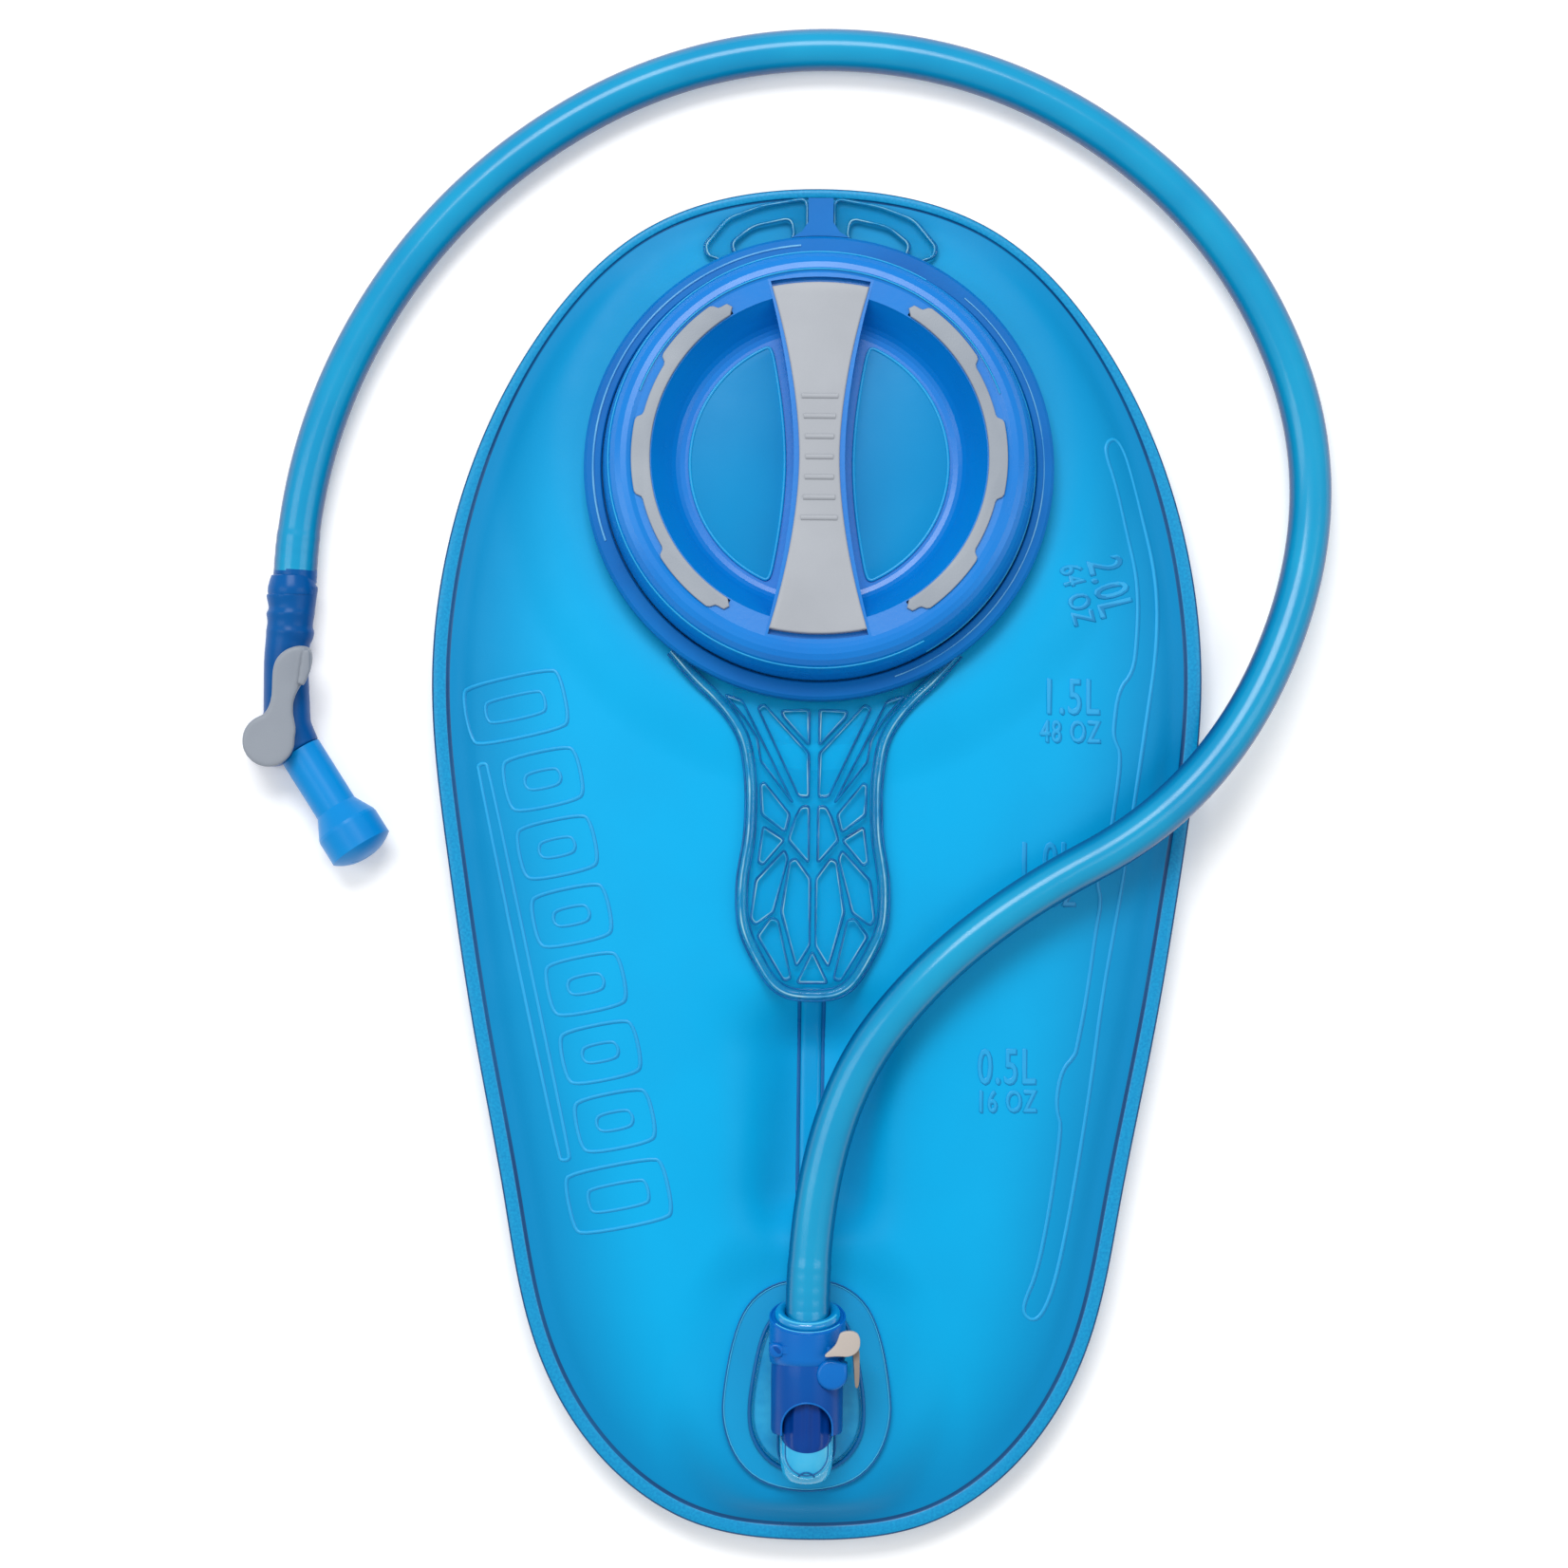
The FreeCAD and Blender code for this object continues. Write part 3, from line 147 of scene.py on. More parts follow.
BUTTON = moulded("button", linear(206, 196, 188), linear(196, 186, 178), 0.4, 0.06, 1600.0, 0.03,
                 specular=0.3)
# painted shade: the button's beige made darker for its lower side
BUTTON_SHADE = moulded("button_shaded_side", linear(158, 144, 134), linear(144, 130, 120), 0.4, 0.06, 1600.0, 0.03,
                      specular=0.3)
RUBBER = moulded("seal", linear(40, 44, 54), None, 0.6, 0.1, 1200.0, 0.03)
CLEAR = moulded("clear", linear(0, 188, 252), linear(0, 184, 248), 0.1, 0.03, 300.0, 0.01, alpha=0.1,
                specular=0.2)
CLEAR_RIM = moulded("clear_rim", linear(0, 152, 222), linear(20, 180, 240), 0.1, 0.04, 500.0, 0.01,
                    alpha=0.4, specular=0.5, blotch=90.0)
# painted shade: dark lines along the edges of the clear plastic
CLEAR_EDGE_SHADE = moulded("clear_edge_shade", linear(0, 102, 174), linear(0, 132, 208), 0.1, 0.04, 500.0, 0.01,
                     alpha=0.8, specular=0.3, blotch=200.0)
SOCKET = moulded("socket_clear", linear(10, 176, 238), linear(0, 168, 230), 0.14, 0.03, 300.0, 0.01,
                 specular=0.3)
LEVER = moulded("lever_gray", linear(162, 170, 181), linear(150, 158, 170), 0.42, 0.06, 2200.0, 0.05,
                specular=0.3)
ARC_GRIP = moulded("grip_arc_gray", linear(170, 178, 188), linear(156, 165, 177), 0.5, 0.06, 2200.0, 0.08,
                   specular=0.3)
FLANGE_SKIN = moulded("exit_flange", linear(0, 172, 234), linear(0, 166, 228), 0.3, 0.05, 900.0, 0.02,
                      specular=0.25)
TEAR_SKIN = moulded("exit_teardrop", linear(40, 188, 244), linear(0, 164, 228), 0.14, 0.05, 300.0, 0.02,
                    specular=0.4, blotch=160.0)
SOCKET_WALL = moulded("socket_wall", linear(110, 214, 252), linear(50, 190, 246), 0.1, 0.03, 300.0, 0.01,
                      alpha=0.6, coat=0.3, specular=0.5, blotch=150.0)
SOCKET_FLOOR = moulded("socket_floor", linear(90, 206, 248), linear(40, 188, 244), 0.14, 0.03, 300.0, 0.01,
                       specular=0.4, blotch=90.0)
STEEL = moulded("spring_steel", linear(190, 190, 194), None, 0.25, 0.05, 900.0, 0.01)
STEEL.node_tree.nodes["Principled BSDF"].inputs["Metallic"].default_value = 1.0
STRIP = moulded("centre_strip", linear(6, 180, 244), linear(0, 172, 236), 0.3, 0.05, 1300.0, 0.03,
                specular=0.3)
# painted highlight: paler than the film, for raised lines and letters
EMBOSS = moulded("film_emboss", linear(24, 182, 246), linear(10, 174, 240), 0.36, 0.06, 1300.0, 0.03,
                 specular=0.35)
SHADE = moulded("film_shade", linear(0, 100, 168), linear(0, 116, 186), 0.3, 0.06, 1300.0, 0.02,
                specular=0.3)
SHADE_SOFT = moulded("film_shade_soft", linear(0, 150, 216), linear(0, 144, 210), 0.36, 0.06, 1300.0, 0.02,
                     specular=0.25)
GLINT = moulded("film_glint", linear(90, 206, 250), linear(60, 196, 248), 0.25, 0.06, 1300.0, 0.02,
                specular=0.4)
# painted highlight: thin bright lines on the clear plastic
CLEAR_GLINT = moulded("clear_glint", linear(170, 234, 255), linear(0, 170, 236), 0.12, 0.04, 500.0, 0.01,
                    alpha=0.8, specular=0.4, blotch=160.0)


def paint_shade(mat, shade):
    """Painted shade: darker where the mesh's own fill attribute is low, which is along a tube's sides and on
    a film towards its weld.
    """
    nodes = mat.node_tree.nodes
    links = mat.node_tree.links
    shader = nodes["Principled BSDF"]
    before = shader.inputs["Base Color"].links[0].from_socket
    fill = nodes.new("ShaderNodeAttribute")
    fill.attribute_name = "fill"
    mix = nodes.new("ShaderNodeMixRGB")
    mix.inputs["Color1"].default_value = shade
    links.new(fill.outputs["Fac"], mix.inputs["Fac"])
    links.new(before, mix.inputs["Color2"])
    links.new(mix.outputs["Color"], shader.inputs["Base Color"])


# painted shade: the film darker towards its weld and the tube darker along its sides
paint_shade(FILM, linear(0, 146, 209))
paint_shade(TUBE, linear(0, 80, 144))


# ------------------------------------------------------------------ mesh helpers
def mesh_object(name, verts, faces, mats, body, sharp=35.0, slots=None, matrix=None):
    """A smooth-shaded mesh from millimetre points, moved by matrix, riding on a body."""
    mesh = bpy.data.meshes.new(name)
    points = [Vector(v) * MM for v in verts]
    if matrix is not None:
        points = [matrix @ p for p in points]
    mesh.from_pydata([tuple(p) for p in points], [], faces)
    mesh.validate()
    obj = bpy.data.objects.new(name, mesh)
    bpy.context.collection.objects.link(obj)
    for mat in (mats if isinstance(mats, (list, tuple)) else [mats]):
        mesh.materials.append(mat)
    if slots is not None:
        mesh.polygons.foreach_set("material_index", slots)
    mesh.shade_smooth()
    mesh.set_sharp_from_angle(angle=math.radians(sharp))
    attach(obj, body)
    return obj


def lathe(name, profile, mats, body, matrix, count):
    """A closed profile of (radius, height) turned about Z."""
    verts = []
    for k in range(count):
        angle = 2.0 * math.pi * k / count
        for r, z in profile:
            verts.append((r * math.cos(angle), r * math.sin(angle), z))
    n = len(profile)
    faces = []
    for k in range(count):
        for i in range(n):
            j = (i + 1) % n
            a, b = k * n, ((k + 1) % count) * n
            if profile[i][0] < 1e-6 and profile[j][0] < 1e-6:
                continue
            faces.append((a + i, b + i, b + j, a + j))
    obj = mesh_object(name, verts, faces, mats, body, matrix=matrix)
    clean(obj)
    return obj


def clean(obj, distance=1e-6):
    """Weld double points and make the faces look outwards."""
    bm = bmesh.new()
    bm.from_mesh(obj.data)
    bmesh.ops.remove_doubles(bm, verts=bm.verts, dist=distance)
    bmesh.ops.recalc_face_normals(bm, faces=bm.faces)
    bm.to_mesh(obj.data)
    bm.free()


def arc(cx, cy, radius, start, end, count):
    """Points on a circle, angles in degrees, both ends included."""
    out = []
    for k in range(count + 1):
        a = math.radians(start + (end - start) * k / count)
        out.append((cx + radius * math.cos(a), cy + radius * math.sin(a)))
    return out


def slab(outline, low, high):
    """Points and faces of an upright slab; the bottom face comes first, then the top."""
    n = len(outline)
    verts = [(x, y, z) for z in (low, high) for x, y in outline]
    faces = [tuple(range(n))[::-1], tuple(range(n, 2 * n))]
    faces += [(i, (i + 1) % n, n + (i + 1) % n, n + i) for i in range(n)]
    return verts, faces


def prism(name, outline, low, high, bevel, mats, body, matrix=None):
    """An upright slab from a closed outline, with a rounded top edge."""
    verts, faces = slab(outline, low, high)
    obj = mesh_object(name, verts, faces, mats, body, 40.0, None, matrix)
    bm = bmesh.new()
    bm.from_mesh(obj.data)
    bm.faces.ensure_lookup_table()
    bmesh.ops.bevel(bm, geom=list(bm.faces[1].edges), offset=bevel * MM, segments=4, profile=0.5,
                    affect="EDGES", clamp_overlap=True)
    bmesh.ops.recalc_face_normals(bm, faces=bm.faces)
    bm.to_mesh(obj.data)
    bm.free()
    obj.data.shade_smooth()
    obj.data.set_sharp_from_angle(angle=math.radians(40.0))
    return obj


def at_height(points, z):
    """Plan points in mm at one height, in metres."""
    return [Vector((x, y, z)) * MM for x, y in points]


def sweep(name, path, radius, mats, body, sides=12, squash=1.0, closed=False, bore=None):
    """A round bar (hollow with bore) along points in metres; radius may vary along it."""
    points = [Vector(p) for p in path]
    count = len(points)
    radii = radius if isinstance(radius, (list, tuple)) else [radius] * count
    rings = []
    normal = None
    for k, p in enumerate(points):
        if closed:
            tangent = points[(k + 1) % count] - points[k - 1]
        else:
            tangent = points[min(k + 1, count - 1)] - points[max(k - 1, 0)]
        tangent.normalize()
        if normal is None:
            normal = Vector((0, 0, 1)) if abs(tangent.z) < 0.9 else Vector((1, 0, 0))
        normal = (normal - tangent * normal.dot(tangent)).normalized()
        side = tangent.cross(normal)
        rings.append((p, normal.copy(), side, radii[k]))
    verts = []
    layers = [1.0] if bore is None else [1.0, bore / radii[0]]
    for share in layers:
        for p, up, side, r in rings:
            for s in range(sides):
                a = 2.0 * math.pi * s / sides
                verts.append(p + (side * math.cos(a) + up * math.sin(a) * squash) * r * share)
    faces = []
    last = count if closed else count - 1
    for layer in range(len(layers)):
        base = layer * count * sides
        for k in range(last):
            for s in range(sides):
                a = base + k * sides
                b = base + ((k + 1) % count) * sides
                t = (s + 1) % sides
                faces.append((a + s, a + t, b + t, b + s))
    if not closed:
        if bore is None:
            faces.append(tuple(range(sides))[::-1])
            faces.append(tuple(range((count - 1) * sides, count * sides)))
        else:
            off = count * sides
            for end in (0, (count - 1) * sides):
                for s in range(sides):
                    t = (s + 1) % sides
                    faces.append((end + s, end + t, off + end + t, off + end + s))
    verts = [tuple(v / MM) for v in verts]
    obj = mesh_object(name, verts, faces, mats, body, 50.0)
    clean(obj, 1e-7)
    return obj


# ------------------------------------------------------------------ the bag's outline and surface
EGG = [(0.0, 167.5), (43.1, 157.4), (70.8, 129.2), (90.9, 82.1), (95.4, 47.0), (91.3, 2.0),
       (84.7, -40.0), (76.6, -82.6), (68.2, -120.2), (50.9, -148.5), (29.5, -163.2), (0.0, -167.5)]


def closed_spline(points, count):
    """Smooth closed curve through the points, as count points evenly spaced along it."""
    pts = np.array(points, float)
    n = len(pts)
    step = np.linalg.norm(np.roll(pts, -1, 0) - pts, axis=1)
    matrix = np.zeros((n, n))
    right = np.zeros((n, 2))
    for i in range(n):
        before, after = step[i - 1], step[i]
        matrix[i, i - 1] = after
        matrix[i, i] = 2.0 * (before + after)
        matrix[i, (i + 1) % n] = before
        slope_in = (pts[i] - pts[i - 1]) / before
        slope_out = (pts[(i + 1) % n] - pts[i]) / after
        right[i] = 3.0 * (after * slope_in + before * slope_out)
    tangent = np.linalg.solve(matrix, right)
    dense = []
    for i in range(n):
        j = (i + 1) % n
        t = np.linspace(0.0, 1.0, 80, endpoint=False)[:, None]
        a, b = pts[i], pts[j]
        ma, mb = tangent[i] * step[i], tangent[j] * step[i]
        dense.append((2 * t**3 - 3 * t**2 + 1) * a + (t**3 - 2 * t**2 + t) * ma
                     + (-2 * t**3 + 3 * t**2) * b + (t**3 - t**2) * mb)
    dense = np.concatenate(dense)
    loop = np.vstack([dense, dense[:1]])
    length = np.r_[0, np.cumsum(np.linalg.norm(np.diff(loop, axis=0), axis=1))]
    even = np.linspace(0, length[-1], count, endpoint=False)
    return np.c_[np.interp(even, length, loop[:, 0]), np.interp(even, length, loop[:, 1])]


def both_sides(right):
    """The whole loop from its right half, whose first and last points lie on the middle line."""
    return right + [(-x, y) for x, y in right[1:-1]][::-1]


OUTLINE = closed_spline(both_sides(EGG), 1080)
RIGHT_EDGE = OUTLINE[OUTLINE[:, 0] >= 0]
RIGHT_EDGE = RIGHT_EDGE[np.argsort(RIGHT_EDGE[:, 1])]


def half_width(y):
    return np.interp(y, RIGHT_EDGE[:, 1], RIGHT_EDGE[:, 0], left=0.0, right=0.0)


def smooth(t):
    t = np.clip(t, 0.0, 1.0)
    return t * t * (3.0 - 2.0 * t)


def pillow(x, y):
    """How full the bag is at a place, 0 at the weld to 1 at its highest."""
    width = np.maximum(half_width(y * 167.5 / 163.5) - 4.0, 0.5)
    across = 1.0 - np.minimum(np.abs(x) / width, 1.0) ** 2.4
    upper = 1.0 - (np.maximum(y - 47.0, 0.0) / 116.5) ** 3
    lower = 1.0 - (np.maximum(47.0 - y, 0.0) / 210.5) ** 4
    return np.maximum(0.0, across * np.where(y > 47.0, upper, lower))


def valley(x, y):
    """1, and less along the middle weld, which holds the two films together."""
    reach = smooth((y + 104.0) / 24.0) * smooth((-26.0 - y) / 20.0)
    return 1.0 - reach * np.exp(-((x / 15.0) ** 2))


def edge_fade(x, y):
    """0 on the weld band, rising to 1 over the next 7 mm."""
    gap = np.minimum(half_width(y) - 4.0 - np.abs(x), 163.5 - np.abs(y))
    return smooth(gap / 7.0)


def front_height(x, y):
    """Height in mm of the front film's outer face."""
    dome = 10.0 + 14.0 * pillow(x, y) * valley(x, y)
    plane = CENTRE[2] - math.tan(TILT) * (y - CENTRE[1])
    near = 1.0 - smooth((np.hypot(x, y - CENTRE[1]) - 60.0) / 20.0)
    height = plane * near + dome * (1.0 - near)
    away = np.hypot((x - EXIT_X) / 23.5, (y + 128.0) / 28.5)
    near_exit = 1.0 - smooth((away - 1.0) / 0.55)
    height = 17.5 * near_exit + height * (1.0 - near_exit)
    return 10.0 + (height - 10.0) * edge_fade(x, y)


def back_height(x, y):
    """Height in mm of the back film's outer face, which lies on the floor where the bag is full."""
    fill = smooth(1.75 * pillow(x, y)) * valley(x, y)
    return np.maximum(8.0 - 8.35 * fill, 0.0)


def draped(points, lift=0.0):
    """Plan points in mm laid on the front film, in metres."""
    pts = np.array(points, float)
    z = front_height(pts[:, 0], pts[:, 1]) + lift
    return [Vector((x, y, h)) * MM for (x, y), h in zip(pts, z)]


# ------------------------------------------------------------------ films
FILM_WALL = 0.45                    # mm


def inward(loop):
    """Unit plan normals of a closed loop, pointing to its middle."""
    ahead = np.roll(loop, -1, 0) - np.roll(loop, 1, 0)
    ahead /= np.linalg.norm(ahead, axis=1)[:, None]
    normal = np.c_[ahead[:, 1], -ahead[:, 0]]
    if np.mean(np.sum(normal * -loop, axis=1)) < 0:
        normal = -normal
    return normal


def band_width(loop):
    """Weld band: narrow over the top, wider down the sides."""
    return 2.5 + 1.5 * smooth((150.0 - loop[:, 1]) / 90.0)


def film_piece(name, height_of, side, mats):
    """One film: rolled rim, flat weld band with its groove, then the soft pillow surface."""
    normal = inward(OUTLINE)
    width = band_width(OUTLINE)
    # share of the band's width, drop in mm, material of the strip that starts there
    rows = [(0.0, 0.35, 2), (0.1, 0.08, 1), (0.4, 0.0, 1), (0.76, 0.0, 1), (0.86, 0.12, 2),
            (0.97, 0.34, 2), (1.1, 0.1, 0), (1.25, -0.02, 0)]
    count = len(OUTLINE)
    rings = []
    drops = []
    for share, drop, _ in rows:
        rings.append(OUTLINE + normal * (width * share)[:, None])
        drops.append(np.full(count, drop))
    inner = OUTLINE + normal * (width * 1.25)[:, None]
    centre = np.array([0.0, 5.0])
    steps = 74
    for k in range(1, steps):
        share = 1.0 - (k / steps)
        rings.append(centre + (inner - centre) * share)
        drops.append(np.zeros(count))
    verts = []
    for loop, drop in zip(rings, drops):
        z = height_of(loop[:, 0], loop[:, 1])
        z = z - side * drop + side * puckers(loop)
        verts.append(np.c_[loop, z])
    faces = []
    slots = []
    for r in range(len(rings) - 1):
        for k in range(count):
            j = (k + 1) % count
            faces.append((r * count + k, r * count + j, (r + 1) * count + j, (r + 1) * count + k))
            slots.append(rows[r][2] if r < len(rows) else 0)
    points = np.concatenate(verts)
    middle = len(points)
    z_mid = float(height_of(np.array([centre[0]]), np.array([centre[1]]))[0])
    points = np.vstack([points, [[centre[0], centre[1], z_mid]]])
    for k in range(count):
        faces.append(((len(rings) - 1) * count + k, (len(rings) - 1) * count + (k + 1) % count, middle))
        slots.append(0)
    # the inner skin, one wall thinner, closes the sheet
    total = len(points)
    under = points.copy()
    under[:, 2] -= side * FILM_WALL
    points = np.vstack([points, under])
    faces += [tuple(total + i for i in f)[::-1] for f in faces[: len(slots)]]
    slots += slots[:]
    for k in range(count):
        j = (k + 1) % count
        faces.append((k, total + k, total + j, j))
        slots.append(1)
    obj = mesh_object(name, points.tolist(), faces, mats, "bag", 60.0, slots)
    clean(obj, 1e-7)
    # painted shade: the fill attribute below darkens the film towards its weld
    where = np.empty(len(obj.data.vertices) * 3)
    obj.data.vertices.foreach_get("co", where)
    where = where.reshape(-1, 3) / MM
    fill = obj.data.attributes.new("fill", "FLOAT", "POINT")
    fill.data.foreach_set("value", fullness(where[:, 0], where[:, 1]))
    return obj


def fullness(x, y):
    """0 at the weld, 1 where the bag is well filled."""
    gap = np.minimum(half_width(y) - np.abs(x), np.minimum((y + 167.5) * 0.72, (167.5 - y) * 1.3))
    return smooth((gap - 1.0) / 36.0)


def puckers(loop):
    """Small gathers that run in from the weld and fade out."""
    out = np.zeros(len(loop))
    gap = np.minimum(half_width(loop[:, 1]) - 4.0 - np.abs(loop[:, 0]), 163.0 - np.abs(loop[:, 1]))
    strength = smooth(gap / 3.0) * np.exp(-np.maximum(gap, 0.0) / 9.0)
    for i, (x, y) in enumerate(loop):
        if strength[i] > 0.01:
            angle = math.atan2(y, x)
            wave = noise.noise(Vector((math.cos(angle) * 7.0, math.sin(angle) * 7.0, 1.3)))
            out[i] = 0.5 * wave * strength[i]
    return out


# ------------------------------------------------------------------ camera and light first
cam = bpy.data.cameras.new("camera")
cam.lens = 120.0
cam.sensor_width = 36.0
camera = bpy.data.objects.new("camera", cam)
bpy.context.collection.objects.link(camera)
camera.location = (-0.0079, 0.0199, 1.3057)
camera.rotation_euler = (0.0, 0.0, 0.0087)
bpy.context.scene.camera = camera


def area_light(name, place, size, power):
    """A soft rectangular light aimed at the middle of the bag."""
    data = bpy.data.lights.new(name, "AREA")
    data.shape = "RECTANGLE"
    data.size, data.size_y = size
    data.energy = power
    obj = bpy.data.objects.new(name, data)
    bpy.context.collection.objects.link(obj)
    obj.location = place
    obj.rotation_euler = (-Vector(place)).to_track_quat("-Z", "Y").to_euler()


area_light("north", (-0.3, 1.6, 2.4), (1.6, 1.0), 52.0)
area_light("left", (-1.5, 0.2, 1.7), (0.7, 1.4), 9.0)
area_light("right", (1.5, 0.1, 1.7), (0.7, 1.4), 7.0)
world = bpy.data.worlds.new("studio")
bpy.context.scene.world = world
world.use_nodes = True
world.node_tree.nodes["Background"].inputs["Color"].default_value = (1.0, 1.0, 1.0, 1.0)
world.node_tree.nodes["Background"].inputs["Strength"].default_value = 0.6
bpy.context.scene.view_settings.view_transform = "Standard"

floor_mat = moulded("floor", (0.95, 0.95, 0.95, 1.0), (0.93, 0.93, 0.93, 1.0), 0.85, 0.03, 200.0, 0.005,
                    specular=0.1)
floor_mat.node_tree.nodes["Principled BSDF"].inputs["Emission Color"].default_value = (1, 1, 1, 1)
floor_mat.node_tree.nodes["Principled BSDF"].inputs["Emission Strength"].default_value = 0.12
FLOOR_REACH = 3000.0
FLOOR_Z = -0.2
floor_corners = [(x * FLOOR_REACH, y * FLOOR_REACH, FLOOR_Z) for x, y in ((-1, -1), (1, -1), (1, 1), (-1, 1))]
floor = mesh_object("floor", floor_corners, [(0, 1, 2, 3)], floor_mat, "bag")

# ------------------------------------------------------------------ drink tube
HOSE_RADIUS = 5.25                  # mm
HOSE_BORE = 3.5                     # radius, mm
BARB_REACH = 14.0                   # how far a barb reaches into the tube, mm
BARB_STEP = 3.2                     # from one barb ring to the next, mm
ROUTE = [(-0.001, -0.1092, 0.0295), (-0.001, -0.064, 0.0295), (0.034, -0.016, 0.0335),
         (0.100, 0.019, 0.021), (0.129, 0.092, 0.0053), (0.104, 0.158, 0.0053),
         (0.044, 0.201, 0.0053), (-0.029, 0.204, 0.0053), (-0.092, 0.167, 0.0053),
         (-0.129, 0.105, 0.0053), (-0.130, 0.069, 0.0053)]


def nurbs_line(route, resolution=24):
    """Points read from the route's smooth spline."""
    curve = bpy.data.curves.new("route", "CURVE")
    curve.dimensions = "3D"
    spline = curve.splines.new("NURBS")
    spline.points.add(len(route) - 1)
    for point, place in zip(spline.points, route):
        point.co = (place[0], place[1], place[2], 1.0)
    spline.order_u = 3
    spline.use_endpoint_u = True
    curve.resolution_u = resolution
    holder = bpy.data.objects.new("route", curve)
    mesh = bpy.data.meshes.new_from_object(holder)
    line = [v.co.copy() for v in mesh.vertices]
    bpy.data.objects.remove(holder)
    return line


line = nurbs_line(ROUTE)


def tube_radii(points):
    """The tube swells a little over each barb ring at both of its ends."""
    run = [0.0]
    for k in range(1, len(points)):
        run.append(run[-1] + (points[k] - points[k - 1]).length / MM)
    total = run[-1]
    out = []
    for along in run:
        swell = 0.0
        for near in (along, total - along):
            if near < BARB_REACH:
                wave = 0.5 + 0.5 * math.cos(2.0 * math.pi * (near - 2.0) / BARB_STEP)
                depth = 0.05 if near == total - along else 0.03
                swell = (0.14 + depth * wave) * smooth(np.array((BARB_REACH - near) / 3.0)).item()
        out.append((HOSE_RADIUS + swell) * MM)
    return out


def fine_ends(points):
    """More points over the first and last 16 mm, so the swellings are round."""
    out = [points[0]]
    total = sum((points[k] - points[k - 1]).length for k in range(1, len(points)))
    run = 0.0
    for k in range(1, len(points)):
        step = (points[k] - points[k - 1]).length
        near_end = min(run, total - run) < 16.0 * MM
        parts = max(1, round(step / (0.4 * MM))) if near_end else 1
        for j in range(1, parts + 1):
            out.append(points[k - 1].lerp(points[k], j / parts))
        run += step
    return out


def side_shade_fill(obj):
    """Fill is 0 at a tube's sides and 1 where it faces up, so the sides get painted shade where more wall is
    looked through.
    """
    fill = obj.data.attributes.new("fill", "FLOAT", "POINT")
    facing = np.array([abs(v.normal.z) for v in obj.data.vertices])
    fill.data.foreach_set("value", smooth((facing - 0.22) / 0.7).astype(np.float32))


tube_line = fine_ends(line)
tube = sweep("hose", tube_line, tube_radii(tube_line), TUBE, "bag", sides=40, bore=HOSE_BORE * MM)
tube.data.materials.append(TUBE_END)
DARK_END_Y = ROUTE[-1][1] + 0.003   # the valve's barb shows dark through the tube below this
for face in tube.data.polygons:
    if face.center.x < -0.12 and face.center.y < DARK_END_Y:
        face.material_index = 1
side_shade_fill(tube)
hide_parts("drink_tube")

# ------------------------------------------------------------------ bag
front = film_piece("bag_front", front_height, 1.0, [FILM, WELD, WELD_LINE])
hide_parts("front_film")
back = film_piece("bag_back", back_height, -1.0, [FILM, WELD, WELD_LINE])
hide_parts("back_film")


def welt(name, plan, radius, mats, closed=False, lift=0.0):
    """A raised line of film that follows plan points over the front of the bag."""
    obj = sweep(name, draped(plan, lift), radius * MM, mats, "bag", sides=8, squash=0.6, closed=closed)
    return obj


def straight(a, b, step=1.5):
    """Evenly spaced points from a to b."""
    count = max(2, int(math.dist(a, b) / step))
    return [(a[0] + (b[0] - a[0]) * k / count, a[1] + (b[1] - a[1]) * k / count)
            for k in range(count + 1)]


def ribbon(name, plan, half, lift, mats):
    """A flat strip laid on the film along a straight plan line."""
    verts = []
    rows = straight(plan[0], plan[1], 1.0)
    for x, y in rows:
        for k in range(5):
            across = x - half + 2.0 * half * k / 4.0
            height = float(front_height(np.array([across]), np.array([y]))[0])
            verts.append((across, y, height + lift * (1.0 - 0.25 * (k - 2) ** 2)))
    faces = []
    for r in range(len(rows) - 1):
        for k in range(4):
            faces.append((r * 5 + k, r * 5 + k + 1, (r + 1) * 5 + k + 1, (r + 1) * 5 + k))
    obj = mesh_object(name, verts, faces, mats, "bag", 60.0)
    solid = obj.modifiers.new("thick", "SOLIDIFY")
    solid.thickness = 0.3 * MM
    return obj


# middle weld from the handle to the port
ribbon("centre_weld", ((-0.6, -30.0), (-0.9, -102.0)), 2.5, 0.32, STRIP)
for number, x in enumerate((-3.6, 2.4)):
    inner = x + 0.9 - number * 1.8
    welt("centre_weld_edge_%d" % number, straight((x, -31.5), (x - 0.3, -102.0)), 0.5, SHADE)
    welt("centre_weld_glint_%d" % number, straight((inner, -31.5), (inner - 0.3, -102.0)), 0.3, GLINT)

# volume scale: a slender raised outline that steps in at each mark
SCALE_OUTER = [(73.3, 106.2), (75.4, 103.0), (77.2, 97.5), (80.1, 86.5), (83.0, 74.9), (84.1, 64.7),
               (83.7, 52.2), (81.6, 37.4), (78.7, 16.3), (74.7, -10.9), (71.1, -31.6), (68.8, -51.0),
               (65.6, -73.1), (62.3, -92.4), (59.6, -104.5), (57.0, -110.6), (54.6, -112.3)]
SCALE_INNER = [(52.3, -110.4), (52.5, -107.5), (55.5, -100.4), (58.4, -85.5), (61.3, -64.1),
               (60.2, -61.0), (59.9, -57.0), (61.2, -50.0), (64.4, -46.5), (65.0, -44.0), (67.3, -31.6),
               (69.4, -15.0), (70.6, -8.0), (69.4, -4.0), (70.0, 2.0), (72.6, 7.0), (73.6, 14.0),
               (75.3, 28.0), (73.4, 31.5), (73.2, 34.5), (74.4, 44.0), (78.0, 48.2), (78.9, 56.0),
               (79.2, 66.0), (78.4, 74.0), (76.2, 82.6), (73.4, 94.5), (70.6, 102.5), (71.2, 105.3)]


